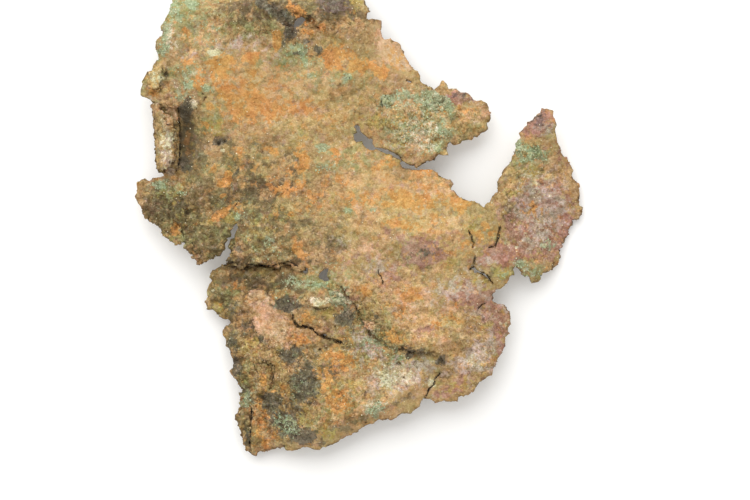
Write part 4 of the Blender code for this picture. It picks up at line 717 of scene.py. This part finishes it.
VERDIGRIS = [
    (15.9, 19.2, 11.7, 5.3, 0.25), (21.2, 26.6, 3.2, 2.1, 0.5), (2.1, -37.2, 3.2, 2.1, 0.25),
    (17.2, 29.8, 3.7, 1.3, 0.5), (-15.9, -47.6, 3.7, 5.3, 0.3), (-20.1, -58.2, 3.7, 3.7, 0.3),
    (-19.1, -39.9, 3.2, 2.1, 0.25), (-18.6, -25.3, 8, 3.7, 0.25), (18.6, 14.4, 3.7, 1.3, 0.3),
    (2.7, -37.2, 3.2, 2.4, 0.28), (4.2, -53.1, 3.2, 1.6, 0.25), (-43.7, 57.4, 3.7, 3.7, 0.6),
    (-35.8, 62.1, 2.7, 1.6, 0.5), (-10.6, 62.1, 2.7, 2.1, 0.45), (-44.3, 52.9, 1.6, 1.1, 0.95),
    (-48.8, 50.5, 2.7, 3.2, 0.5), (-50.9, 45.2, 2.1, 2.7, 0.75), (-51.4, 41.7, 2.1, 2.1, 0.8),
    (-52.2, 39.9, 1.6, 1.6, 0.55), (-40.3, 30.3, 1.9, 1.3, 0.7), (-45.8, 31.9, 1.6, 1.3, 0.7),
    (-54.1, 4.9, 2.4, 1.6, 0.75), (-51.7, 5.7, 2.4, 1.3, 0.4), (-47.4, 3.3, 1.6, 1.1, 0.6),
    (-32.9, -3.3, 0.8, 1.3, 1, -30), (20.4, 27.7, 3.7, 2.4, 0.9), (14.6, 26.9, 4.8, 2.4, 0.4),
    (10.6, 28.5, 3.7, 1.6, 0.6), (6.6, 27.2, 2.9, 2.1, 0.5), (23.9, 25.6, 2.1, 2.1, 0.6),
    (45.1, 14.4, 4, 1.9, 0.55), (44.5, 11.8, 2.4, 1.1, 0.75), (48, 13.9, 2.7, 1.9, 0.6),
    (41.9, 16, 1.1, 2.7, 0.85), (-6.1, -24.8, 3.2, 1.9, 0.85), (-4, -22.7, 3.2, 1.6, 0.4),
    (-2.7, -27.2, 2.7, 2.1, 0.4, -30), (0, -30.6, 2.4, 2.4, 0.35, 30), (4, -33.8, 2.9, 2.4, 0.28, 30),
    (7.4, -37.8, 3.2, 3.2, 0.28, 30), (10.6, -40.4, 3.2, 2.1, 0.22), (50.6, -11, 2.4, 1.3, 0.6),
    (4, -54.5, 3.7, 2.1, 0.75, 25), (-3.4, -51.8, 4.2, 2.1, 0.2), (-29.7, -52.1, 2.1, 2.1, 0.7),
    (-16.4, 40.9, 3.2, 1.9, 0.5), (-13.2, 37.8, 2.1, 1.3, 0.35), (-18.3, -59.8, 2.7, 2.4, 0.6),
    (-21.2, -57.4, 2.1, 2.1, 0.4), (46.4, -17.9, 3.7, 2.4, 0.45), (42.4, -16.3, 1.6, 1.3, 0.6),
    (15.9, 19.7, 12.2, 6.4, 0.22), (-10.1, 15.2, 1.9, 1.3, 0.6), (-8.5, 9.9, 3.7, 2.4, 0.4),
    (-2.7, -2, 1.9, 1.1, 0.65), (2.9, -1.2, 1.3, 0.8, 0.6), (-23.9, -12.1, 6.4, 3.2, 0.3),
    (-17.2, -20.3, 4.2, 1.6, 0.5), (-10.6, -21.1, 3.2, 1.3, 0.65), (-3.4, 33.3, 1.3, 1.3, 0.6),
    (-13.2, 33.5, 2.1, 1.3, 0.35), (7.4, 26.9, 1.6, 1.6, 0.8), (-23.9, -8.9, 1.6, 1.3, 0.5),
    (-54.3, 32.5, 2.1, 3.7, 0.08), (-39.8, 38.3, 5.3, 2.7, 0.2), (-15.9, 37.8, 8, 2.1, 0.25),
    (-45.6, 34.3, 5.8, 3.7, 0.35), (38.4, -10.2, 3.7, 0.8, 0.4, -20), (21.2, 19.7, 3.2, 2.1, 0.4),
    (38.4, -18.7, 2.1, 1.3, 0.45), (-43.7, 49.4, 6.9, 5.3, 0.22), (-47.2, 28.2, 4.2, 2.7, 0.4),
    (-38.4, 43.6, 6.4, 3.7, 0.25), (-5.3, 33, 8, 2.7, 0.2), (9.3, -44.4, 8, 5.3, 0.25),
    (-31.8, -5.4, 5.3, 3.7, 0.2), (-8, -17.4, 4.2, 2.1, 0.3), (45.1, 6.5, 5.3, 2.7, 0.2),
    (-6.6, -53.1, 3.7, 2.1, 0.12), (31.8, -20, 2.7, 1.6, 0.2),
]
CREAM = [
    (19.1, 15, 4.2, 1.6, 0.3), (20.7, 25.6, 3.7, 2.1, 0.32), (8.5, -44.4, 5.8, 3.7, 0.3),
    (3.2, -52.6, 4.2, 1.9, 0.25), (-50.9, 17.1, 2.1, 8, 0.18), (46.4, 7.6, 4.2, 2.4, 0.25),
    (-53.8, 33.5, 2.1, 2.4, 0.25), (17.2, 19.2, 10.1, 4.8, 0.22), (-49.8, 43.6, 2.7, 4.2, 0.25),
    (8.5, -45.4, 6.4, 3.4, 0.3), (46.4, 7, 4.8, 2.4, 0.22), (-51.1, 17.1, 2.4, 8, 0.2),
    (4, -52.9, 3.7, 1.6, 0.18), (47.7, -7.3, 4.2, 3.2, 0.16), (-5.3, -24.2, 2.7, 1.6, 0.3),
    (-26, 39.4, 2.7, 1.3, 0.25), (-53.8, 33, 2.4, 3.2, 0.32), (-51.1, 17.1, 2.1, 8, 0.22),
    (-49.8, 43.6, 2.1, 3.7, 0.25), (14.6, 19.2, 5.8, 3.7, 0.22), (18.6, 14.4, 3.7, 1.3, 0.25),
    (4.2, -53.1, 3.2, 1.6, 0.22), (46.4, 13.1, 2.7, 1.3, 0.3), (29.2, -40.7, 3.7, 2.7, 0.2),
    (-45.1, 59.5, 1.6, 1.1, 0.5), (-38.2, 39.9, 2.1, 0.9, 0.98), (-44, 26.4, 1.6, 1.1, 0.95),
    (-12.7, -25.3, 1.9, 1.2, 0.98), (-9.3, -25.8, 1.6, 0.9, 0.85), (19.3, -47.3, 1.1, 0.8, 0.85),
    (-38.4, -22.9, 0.5, 0.5, 1), (-35.5, 14.2, 0.8, 0.5, 1), (41.6, -11.3, 0.6, 0.6, 1),
    (49.8, -11, 0.5, 0.5, 1), (-2.7, -25.3, 3.2, 2.4, 0.3), (50.1, 3.6, 3.2, 0.7, 0.4),
    (43.7, -6.8, 5.3, 3.7, 0.22), (37.6, -31.1, 2.4, 1.9, 0.35), (14.6, 27.7, 3.2, 1.9, 0.3),
    (-10.1, 15.2, 1.6, 1.1, 0.5), (-29.9, 43.1, 2.1, 1.1, 0.3), (0, 5.2, 6.4, 3.2, 0.12),
    (15.9, 21.1, 10.6, 5.3, 0.14), (10.6, -46.5, 6.4, 3.7, 0.3), (-15.9, 33, 10.6, 2.1, 0.15),
]
CRUSTS = {
    "olive": OLIVE, "umber": UMBER, "tan": TAN, "moss": MOSS, "yellow": YELLOW, "pink": PINK,
    "cuprite": CUPRITE, "lilac": LILAC, "orange": ORANGE, "plum": PLUM, "tenorite": TENORITE,
    "verdigris": VERDIGRIS, "cream": CREAM,
}
# how much of each crust there is everywhere, above and on the underside
EVERYWHERE = {
    "olive": (0.06, 0.40), "umber": (0.03, 0.30), "tan": (0.10, 0.15), "moss": (0.21, 0.30),
    "yellow": (0.16, 0.12), "pink": (0.14, 0.02), "cuprite": (0.15, 0.30), "lilac": (0.12, 0.06),
    "orange": (0.19, 0.16), "plum": (0.02, 0.06), "tenorite": (0.03, 0.18),
    "verdigris": (0.04, 0.30), "cream": (0.01, 0.03),
}
# folds that get painted shade in the material
SHADED_FOLDS = [
    (-46.1, 17.1, 1.9, 8.5, 0.85), (-46.1, 24.5, 2.1, 2.7, 0.5), (22.3, -41.7, 1.1, 2.7, 0.5, -20),
    (-15.9, -15.2, 8, 1.1, 0.4), (15.9, -39.1, 8, 1.3, 0.35, -12), (-8, -31.1, 6.9, 1.6, 0.3, -38),
]
print(sum(len(marks) for marks in CRUSTS.values()), "places in", len(CRUSTS), "crusts")


# %% Lay the crusts on the mesh
def lay_crusts(thing, points, facing_up):
    """Gives a mesh one attribute for each crust."""
    moved = wandered(wandered(points, 5.0, 1.3, 1.0), 1.6, 0.55, 4.0)
    stain = cover(moved, OLIVE + UMBER + TENORITE)
    for layer, (name, marks) in enumerate(CRUSTS.items()):
        on_top, under = EVERYWHERE[name]
        top = 1.0 - (1.0 - on_top * (1.0 - 0.6 * stain)) * (1.0 - cover(moved, marks))
        base = under + 0.55 * clouds(moved, 9.0, 7.0 * layer)
        store(thing, name, facing_up * top + (1.0 - facing_up) * np.clip(base, 0.0, 1.0))


places = points_of(sheet)
facing = normals_of(sheet)
upper = ease(-0.5, 0.1, spread(sheet, facing[:, 2], 6))
lay_crusts(sheet, places, upper)
print("crusts laid on", len(places), "points")

# %% Mark hollows and valleys for painted shade, by how far the sheet lies below its own smoothed shape
HOLLOW_DEPTH = 0.9
VALLEY_DEPTH = 2.4
even = spread(sheet, places, 22)
hollow = ((even - places) * facing).sum(axis=1) / HOLLOW_DEPTH
store(sheet, "hollow", np.clip(0.5 + hollow, 0.0, 1.0))
even = spread(sheet, even, 110)
filled = 1.0 - 0.7 * cover(places, RUBBLE)
low = filled * np.clip(((even - places) * facing).sum(axis=1) / VALLEY_DEPTH, 0.0, 1.0)
moved = wandered(places, 1.6, 0.8, 21.0)
store(sheet, "valley", np.maximum(low, cover(moved, SHADED_FOLDS)))
print("valleys:", round(100 * float((low > 0.3).mean())), "% of the points")

# %% Mark the rims, the coarse ground and the cracks
rim = spread(sheet, steep(facing), 3)
store(sheet, "rim", np.clip(rim, 0.0, 1.0))
coarse = np.clip(0.35 + 0.6 * cover(places, ROUGH) + 0.4 * rim, 0.0, 1.0)
store(sheet, "coarse", coarse * (1.0 - cover(places, CALM)))
# each loose grain has its own shade, and the sheet a middling one
store(sheet, "shade", np.full(len(places), 0.5))
across = from_lines(places, CRACKS)
store(sheet, "crack_side", np.clip(across, -9.0, 9.0))
store(sheet, "crack_near", (1.0 - ease(1.5, 3.0, np.abs(across))) * upper)
print("attributes:", [a.name for a in sheet.data.attributes if a.data_type == "FLOAT"])

# %% [markdown]
# ## The material of the crusts
# Paint would blend one colour into the next. Crusts don't: seen close they are grains of one
# mineral or another, and only their mixture changes. So each crust's attribute is compared with
# its own fine noise. Where the attribute is high nearly all of the noise passes, where it is low
# only flecks do. The layers lie in the order in which they grew, with green and cream on top.

# %% Short names for building a material
patina = bpy.data.materials.new("crusted_copper")
patina.use_nodes = True
tree = patina.node_tree
surface = tree.nodes["Principled BSDF"]


def colour(red, green, blue):
    """A colour as a maker reads it off a screen, from 0 to 255, turned into light."""
    light = [((v / 255 + 0.055) / 1.055) ** 2.4 if v > 10 else v / 3295 for v in (red, green, blue)]
    return light + [1.0]


def add(kind, settings=None, **inputs):
    """A node with its settings, and its inputs by name, or as i0, i1 and so on by number.

    An input is a number, a colour or another node's socket."""
    made = tree.nodes.new(kind)
    for name, value in (settings or {}).items():
        setattr(made, name, value)
    for name, value in inputs.items():
        numbered = name[0] == "i" and name[1:].isdigit()
        socket = made.inputs[int(name[1:]) if numbered else name]
        if isinstance(value, bpy.types.NodeSocket):
            tree.links.new(value, socket)
        else:
            socket.default_value = value
    return made


def attribute(name):
    return add("ShaderNodeAttribute", {"attribute_name": name}).outputs["Fac"]


def calc(how, a, b=0.0, c=0.0):
    return add("ShaderNodeMath", {"operation": how}, i0=a, i1=b, i2=c).outputs[0]


def blend(factor, a, b, how="MIX"):
    made = add("ShaderNodeMix", {"data_type": "RGBA", "blend_type": how}, i0=factor, i6=a, i7=b)
    return made.outputs[2]


def slope(value, low, high, to_low=0.0, to_high=1.0):
    """Goes smoothly from to_low to to_high as the value goes from low to high."""
    made = add("ShaderNodeMapRange", {"interpolation_type": "SMOOTHSTEP"}, Value=value)
    for name, number in (("From Min", low), ("From Max", high), ("To Min", to_low), ("To Max", to_high)):
        made.inputs[name].default_value = number
    return made.outputs["Result"]


print("material:", patina.name)

# %% Noise in millimetres, and edges broken by it
where = add("ShaderNodeTexCoord").outputs["Object"]


def grain(size, detail, rough, layer):
    """Noise from 0 to 1, about 0.5 on average, with its coarsest features size millimetres wide."""
    moved = add("ShaderNodeMapping", i0=where, i1=(0.31 * layer, 0.17 * layer, 0.23 * layer))
    return add("ShaderNodeTexNoise", Vector=moved.outputs[0], Scale=1.0 / (size * MM),
               Detail=detail, Roughness=rough).outputs["Fac"]


def frayed(value, reach, size, detail, rough, layer):
    """The value with noise added to it, up or down, so that what it marks has a broken edge."""
    noise_about_0 = calc("MULTIPLY_ADD", grain(size, detail, rough, layer), reach, -0.5 * reach)
    return calc("ADD", value, noise_about_0)


print("noise reads the sheet's own coordinates")

# %% The crusts' colours, each as a lighter and a darker grain
GRAINS = {
    "ground": ((194, 166, 120), (162, 130, 82)),
    "olive": ((140, 130, 94), (110, 94, 56)),
    "umber": ((122, 108, 82), (90, 74, 46)),
    "tan": ((222, 190, 140), (198, 158, 100)),
    "moss": ((172, 168, 124), (142, 136, 82)),
    "yellow": ((194, 174, 108), (162, 138, 68)),
    "pink": ((222, 186, 152), (200, 156, 116)),
    "cuprite": ((190, 148, 132), (152, 108, 90)),
    "lilac": ((206, 190, 176), (172, 150, 134)),
    "orange": ((222, 168, 100), (196, 134, 68)),
    "plum": ((142, 124, 116), (88, 72, 64)),
    "tenorite": ((138, 132, 112), (82, 76, 60)),
    "verdigris": ((180, 193, 160), (138, 152, 114)),
    "cream": ((236, 228, 200), (208, 196, 156)),
}
# size of a crust's patches in mm, how soft and how ragged their edge is, and how much it hides
HABITS = {
    "olive": (3.0, 0.17, 3.8, 0.90), "umber": (2.8, 0.17, 3.8, 0.90), "tan": (2.6, 0.18, 4.0, 0.90),
    "moss": (2.2, 0.15, 4.0, 0.85), "yellow": (2.0, 0.14, 3.8, 0.85), "pink": (2.4, 0.14, 2.8, 0.92),
    "cuprite": (2.2, 0.18, 4.0, 0.92), "lilac": (2.0, 0.18, 4.0, 0.85),
    "orange": (1.8, 0.12, 3.6, 0.90), "plum": (1.7, 0.12, 3.0, 0.88),
    "tenorite": (1.6, 0.10, 2.6, 0.88), "verdigris": (1.5, 0.12, 3.6, 0.82),
    "cream": (1.0, 0.10, 3.2, 0.90),
}
print(len(GRAINS), "pairs of colours")

# %% Build the layers
tone = slope(grain(2.0, 6.0, 0.8, 40), 0.34, 0.66)
skin = blend(tone, colour(*GRAINS["ground"][1]), colour(*GRAINS["ground"][0]))
for layer, (name, (size, soft, ragged, hide)) in enumerate(HABITS.items()):
    dense = calc("MULTIPLY_ADD", attribute(name), 1.3, -0.1)
    patches = frayed(dense, ragged, size, 6.0, 0.62, layer)
    mask = slope(patches, 0.5 - soft, 0.5 + soft, 0.0, hide)
    mask = calc("MULTIPLY", mask, slope(attribute(name), 0.0, 0.6, 0.35, 1.0))
    light, dark = GRAINS[name]
    skin = blend(mask, skin, blend(tone, colour(*dark), colour(*light)))
print(len(HABITS), "crusts layered")

# %% [markdown]
# ## Crumbs in the crusts
# Under a lens a crust falls apart into crumbs of half a millimetre, pale and dark, warm and
# cold, with dark seams between them. One noise can't give that: it only clouds. Voronoi cells
# can, because each cell carries chance values of its own. Cells of three sizes are laid over
# each other, and swirled first so that they don't look like foam.


# %% Cells, each with its own chance
def crumbs(size, layer):
    """Cells about size mm wide: three chance values for each, and the distance from its edge."""
    moved = add("ShaderNodeMapping", i0=where, i1=(0.29 * layer, 0.13 * layer, 0.37 * layer)).outputs[0]
    swirl = add("ShaderNodeTexNoise", Vector=moved, Scale=1.0 / (1.4 * size * MM), Detail=2.0)
    push = add("ShaderNodeVectorMath", {"operation": "MULTIPLY_ADD"}, i0=swirl.outputs["Color"],
               i1=(1.3 * size * MM,) * 3, i2=moved).outputs[0]
    per_mm = 1.0 / (size * MM)
    each = add("ShaderNodeTexVoronoi", Vector=push, Scale=per_mm)
    chances = add("ShaderNodeSeparateColor", i0=each.outputs["Color"]).outputs
    border = add("ShaderNodeTexVoronoi", {"feature": "DISTANCE_TO_EDGE"}, Vector=push, Scale=per_mm)
    return chances[0], chances[1], chances[2], border.outputs["Distance"]


# size in mm, then for each chance value the crumbs at its low end and at its high end: how much
# red, green and blue they give back, next to their crust
# the pale crumbs of the first chance value are whiter than their crust, partly as painted glints
CRUMB_KINDS = (
    (1.15, ((0.73, 0.68, 0.57), (1.16, 1.20, 1.30)), ((0.97, 1.02, 0.99), (1.05, 0.96, 0.86)),
     ((1.01, 0.95, 0.96), (1.01, 1.01, 0.88))),
    (0.58, ((0.72, 0.67, 0.56), (1.17, 1.21, 1.32)), ((0.97, 1.02, 1.01), (1.04, 0.97, 0.88)),
     ((1.01, 0.95, 0.97), (0.92, 0.89, 0.82))),
    (0.33, ((0.73, 0.69, 0.60), (1.18, 1.22, 1.33)), ((0.98, 1.02, 1.03), (1.03, 0.97, 0.91)),
     ((0.99, 0.95, 0.95), (1.06, 1.05, 0.95))),
)
# the chance values between which crumbs of the low kind fade out and those of the high kind in
LOW_END = (0.22, 0.16)
HIGH_END = (0.78, 0.84)
print(len(CRUMB_KINDS), "sizes of crumb")

# %% Lay the crumbs over the crusts
SEAM_COLOUR = colour(70, 50, 26)
rubbly = attribute("coarse")
domes = []
for layer, (size, *kinds) in enumerate(CRUMB_KINDS):
    *chances, border = crumbs(size, 3.0 + layer)
    for chance, ends in zip(chances, kinds):
        for tint, (start, end) in zip(ends, (LOW_END, HIGH_END)):
            share = calc("MULTIPLY", slope(chance, start, end), rubbly)
            skin = blend(share, skin, (*tint, 1.0), "MULTIPLY")
    domes.append(slope(border, 0.0, 0.35))
    broken = calc("MULTIPLY_ADD", grain(1.6, 3.0, 0.7, 50 + layer), 0.5, -0.23)
    seam = slope(calc("ADD", border, broken), -0.02, 0.07, 0.36, 0.0)
    skin = blend(calc("MULTIPLY", seam, rubbly), skin, SEAM_COLOUR)
print(len(domes), "sizes of crumb laid on")

# %% Crazing: fine cracks that run here and there between the larger crumbs
CRAZING_COLOUR = colour(64, 48, 28)
crazing = slope(crumbs(3.4, 9.0)[3], 0.01, 0.05, 1.0, 0.0)
crazing = calc("MULTIPLY", crazing, slope(grain(2.2, 4.0, 0.7, 60), 0.52, 0.62))
crazing = calc("MULTIPLY", crazing, slope(rubbly, 0.1, 0.7, 0.1, 0.55))
skin = blend(crazing, skin, CRAZING_COLOUR)
print("crazing added")

# %% [markdown]
# ## Painted shade
# Painted shade darkens the foot of each scale, the hollows, the long valleys and the rims,
# where less light reaches; at the rims some dark crust lies too. Each has its attribute on the
# mesh. Noise is added to it before it is compared, so that the shade never ends in a clean line.


# %% Shades that change from grain to grain and from place to place, and a painted shadow at the foot of each scale
def tint(skin, by, low, high):
    """Multiplies the skin by one tint where a value is low and by another where it is high."""
    return blend(1.0, skin, blend(by, (*low, 1.0), (*high, 1.0)), "MULTIPLY")


LIP_SHADOW = colour(84, 64, 38)
skin = tint(skin, attribute("shade"), (0.84, 0.82, 0.78), (1.13, 1.15, 1.18))
# painted shadow at the foot of each scale
painted_lip_shadow = frayed(attribute("lip"), 1.2, 1.0, 3.0, 0.7, 29)
skin = blend(slope(painted_lip_shadow, 0.35, 0.9, 0.0, 0.55), skin, LIP_SHADOW)
drift = slope(grain(7.0, 3.0, 0.6, 41), 0.36, 0.64)
skin = tint(skin, drift, (0.94, 1.02, 0.96), (1.05, 0.98, 1.03))
speckle = slope(grain(0.4, 3.0, 0.85, 21), 0.30, 0.70)
skin = tint(skin, speckle, (0.86, 0.83, 0.74), (1.12, 1.14, 1.20))
print("shades added")

# %% Painted shade in the hollows and valleys, and dark rims of crust and painted shade
HOLLOW_SHADE = colour(66, 50, 28)
VALLEY_SHADE = colour(80, 67, 44)
RIM_CRUST_AND_SHADE = colour(88, 66, 40)
# painted shade in the hollows, broken by noise
painted_hollow_shade = slope(frayed(attribute("hollow"), 0.5, 0.8, 2.0, 0.7, 22), 0.58, 0.95)
painted_hollow_shade = calc("MULTIPLY", painted_hollow_shade, slope(grain(3.0, 3.0, 0.6, 28), 0.38, 0.60, 0.25, 0.80))
skin = blend(painted_hollow_shade, skin, HOLLOW_SHADE)
# painted shade in the long valleys and the listed folds
painted_valley_shade = frayed(attribute("valley"), 0.4, 1.5, 4.0, 0.7, 24)
skin = blend(slope(painted_valley_shade, 0.15, 0.75, 0.0, 0.68), skin, VALLEY_SHADE)
# dark rims: partly the crust's dark edge, partly painted shade on the sheet's thickness
edge = frayed(attribute("rim"), 1.2, 1.2, 4.0, 0.75, 27)
skin = blend(slope(edge, 0.15, 0.7, 0.0, 0.74), skin, RIM_CRUST_AND_SHADE)
print("dirt added")

# %% Cracks of changing width, darkened with painted shade
CRACK_SHADE = colour(26, 19, 14)
# painted shade inside the cracks, of changing width
half_width = calc("MULTIPLY_ADD", grain(2.5, 2.0, 0.5, 26), 3.0, -1.1)
from_middle = calc("ABSOLUTE", frayed(attribute("crack_side"), 4.0, 0.9, 3.0, 0.6, 25))
gap = calc("SUBTRACT", from_middle, half_width)
near = slope(attribute("crack_near"), 0.2, 0.6)
painted_crack_shade = calc("MULTIPLY", slope(gap, -0.2, 0.3, 0.95, 0.0), near)
skin = blend(painted_crack_shade, skin, CRACK_SHADE)
print("cracks darkened")

# %% Join the colour to the shader
# the light on the table is a little more than white needs, and the crusts are kept to it
KEPT = 0.90
skin = blend(1.0, skin, (KEPT, KEPT, KEPT, 1.0), "MULTIPLY")
tree.links.new(skin, surface.inputs["Base Color"])
dullness = slope(grain(0.7, 2.0, 0.7, 23), 0.3, 0.7, 0.62, 0.95)
tree.links.new(dullness, surface.inputs["Roughness"])
surface.inputs["Metallic"].default_value = 0.0
surface.inputs["Specular IOR Level"].default_value = 0.35
print("the material has", len(tree.nodes), "nodes")

# %% The finest relief, as bump
BUMP_DEPTH = 0.18 * MM
height = calc("ADD", grain(0.8, 4.0, 0.75, 31), calc("MULTIPLY", grain(0.3, 2.0, 0.7, 32), 0.5))
for dome, share in zip(domes, (0.9, 0.6, 0.35)):
    height = calc("ADD", height, calc("MULTIPLY", calc("MULTIPLY", dome, rubbly), share))
height = calc("SUBTRACT", height, crazing)
bump = add("ShaderNodeBump", Strength=0.8, Distance=BUMP_DEPTH, Height=height)
tree.links.new(bump.outputs[0], surface.inputs["Normal"])
sheet.data.materials.append(patina)
print("bump added to", sheet.name)

# %% [markdown]
# ## Loose grains on the crusts
# Close up, a crust is not one skin but grains grown against each other, and at the margins the
# leaf falls into crumbs. One grain is modelled: a small sphere of twenty faces, flattened.
# Thousands of copies would be too many objects, so they are joined while they are made, each
# with its own size, turn and dents, half sunk into the sheet where its crust is thickest.

# %% Model one grain
bpy.ops.object.select_all(action="DESELECT")
bpy.ops.mesh.primitive_ico_sphere_add(subdivisions=1, radius=0.5)
model = bpy.context.object
bpy.ops.object.mode_set(mode="EDIT")
bpy.ops.mesh.select_all(action="SELECT")
bpy.ops.transform.resize(value=(1.0, 1.0, 0.62))
bpy.ops.object.mode_set(mode="OBJECT")
GRAIN_CORNERS = np.array([v.co[:] for v in model.data.vertices])
GRAIN_FACES = np.array([f.vertices[:] for f in model.data.polygons])
bpy.data.objects.remove(model)
print("one grain:", len(GRAIN_CORNERS), "points,", len(GRAIN_FACES), "faces")

# %% The sheet's triangles, their area and their values
sheet.data.calc_loop_triangles()
corners = read(sheet.data.loop_triangles, "vertices", 3, np.int32)
places = points_of(sheet)
facing = normals_of(sheet)
first, second, third = (places[corners[:, i]] for i in range(3))
area = 0.5 * np.linalg.norm(np.cross(second - first, third - first), axis=1)
values = {
    name: read(sheet.data.attributes[name].data, "value", 1)[:, 0]
    for name in [*CRUSTS, "hollow", "valley", "rim", "coarse", "lip"]
}
open_sky = ease(-0.2, 0.5, facing[:, 2])
print("sheet's surface:", round(area.sum() / 100), "square cm")

# %% Scatter and join the grains
NARROWEST = 0.6
DENTS = 0.35
GRAINS_ABOVE = 0.48
# the higher, the fewer grains are large
RARITY = 2.2


def scatter(name, count, wanted, smallest, largest, seed, finish, sunk=0.1, thin=1.0, tilt=0.0):
    """Grains on the sheet, most where wanted is highest, as one mesh."""
    chance = np.random.default_rng(seed)
    weight = area * (wanted * open_sky)[corners].mean(axis=1)
    chosen = chance.choice(len(area), count, p=weight / weight.sum())
    a, b = np.sort(chance.random((2, count)), axis=0)[:, :, None]
    shares = np.concatenate([a, b - a, 1.0 - b], axis=1)
    middle = np.einsum("nk,nkj->nj", shares, places[corners[chosen]])
    up = np.einsum("nk,nkj->nj", shares, facing[corners[chosen]])
    up += tilt * chance.normal(size=(count, 3))
    up /= np.linalg.norm(up, axis=1)[:, None]
    aside = np.cross(up, chance.normal(size=(count, 3)))
    aside /= np.linalg.norm(aside, axis=1)[:, None]
    across = np.cross(up, aside)
    size = smallest + (largest - smallest) * chance.random(count) ** RARITY
    dents = 1.0 + DENTS * chance.uniform(-1, 1, (count, len(GRAIN_CORNERS), 1))
    sizes = np.stack([size, size * chance.uniform(NARROWEST, 1.0, count), thin * size], axis=1)
    axes = np.stack([aside, across, up], axis=1)
    lifted = (middle + up * (sunk * size)[:, None])[:, None]
    points = lifted + (GRAIN_CORNERS[None] * dents * sizes[:, None]) @ axes
    points[..., 2] = points[..., 2].clip(0.0, SOLID_TOP + GRAINS_ABOVE)
    faces = GRAIN_FACES[None] + len(GRAIN_CORNERS) * np.arange(count)[:, None, None]
    mesh = bpy.data.meshes.new(name)
    mesh.from_pydata((points.reshape(-1, 3) * MM).tolist(), [], faces.reshape(-1, 3).tolist())
    grains = bpy.data.objects.new(name, mesh)
    bpy.context.scene.collection.objects.link(grains)
    # each grain takes the sheet's values where it lies, and a shade of its own
    for mark, value in values.items():
        mean = np.einsum("nk,nk->n", shares, value[corners[chosen]])
        store(grains, mark, np.repeat(mean, len(GRAIN_CORNERS)))
    store(grains, "crack_side", np.full(len(mesh.vertices), 9.0))
    store(grains, "crack_near", np.zeros(len(mesh.vertices)))
    store(grains, "shade", np.repeat(chance.random(count), len(GRAIN_CORNERS)))
    mesh.materials.append(finish)
    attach(grains, "root")
    print(name, count, "grains,", len(mesh.polygons), "faces")


# %% Crumbs, rubble and flakes of the crusts' own stuff
margin = ease(0.05, 0.5, spread(sheet, steep(facing), 12))
rough = cover(places, ROUGH)
rubble = cover(places, RUBBLE)
crumbling = 0.02 + 1.3 * margin + 0.35 * rough + 2.5 * rubble
scatter("crust_crumbs", 8000, crumbling, 0.2, 0.75, 5, patina, sunk=0.0, tilt=0.4)
scatter("seam_rubble", 900, rubble**2, 0.35, 1.9, 10, patina, sunk=0.05, tilt=0.5)
scaly = (0.03 + 0.5 * rough**2 + 0.8 * values["lip"]) * (1.0 - cover(places, CALM))
scatter("crust_flakes", 4200, scaly, 0.5, 1.6, 9, patina, sunk=-0.02, thin=0.38, tilt=0.14)


# %% Grains of verdigris, lime and tenorite, each in its own colour; the pale lime grains stand partly for painted glints
def grain_finish(name, light, dark, rough):
    """A plain crust colour that changes from grain to grain."""
    made = bpy.data.materials.new(name)
    made.use_nodes = True
    nodes, links = made.node_tree.nodes, made.node_tree.links
    body = nodes["Principled BSDF"]
    body.inputs["Roughness"].default_value = rough
    body.inputs["Specular IOR Level"].default_value = 0.35
    spot = nodes.new("ShaderNodeTexCoord")
    cloud = nodes.new("ShaderNodeTexNoise")
    cloud.inputs["Scale"].default_value = 1.0 / (0.7 * MM)
    ramp = nodes.new("ShaderNodeValToRGB")
    for element, position, paint in zip(ramp.color_ramp.elements, (0.35, 0.65), (dark, light)):
        element.position = position
        element.color = colour(*paint)
    links.new(spot.outputs["Object"], cloud.inputs["Vector"])
    links.new(cloud.outputs["Fac"], ramp.inputs["Fac"])
    links.new(ramp.outputs["Color"], body.inputs["Base Color"])
    return made


salt = grain_finish("verdigris_grain", (186, 196, 160), (148, 160, 122), 0.9)
lime = grain_finish("lime_and_glint_grain", (232, 222, 190), (202, 188, 148), 0.85)
soot = grain_finish("dark_grain", (112, 102, 82), (68, 60, 48), 0.8)
scatter("verdigris_grains", 2000, values["verdigris"] ** 3, 0.22, 0.6, 6, salt)
# pale grains strewn thinly everywhere: partly lime, partly painted glints
pale_and_glint_ground = 0.05 + 4.0 * values["cream"] ** 3 + 0.2 * values["verdigris"]
scatter("lime_and_glint_grains", 1400, pale_and_glint_ground, 0.18, 0.4, 7, lime)
scatter("dark_grains", 1800, values["tenorite"] ** 3, 0.22, 0.6, 8, soot)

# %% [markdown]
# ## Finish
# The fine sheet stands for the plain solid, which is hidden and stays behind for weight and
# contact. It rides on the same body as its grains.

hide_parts("copper_sheet")
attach(sheet, "root")
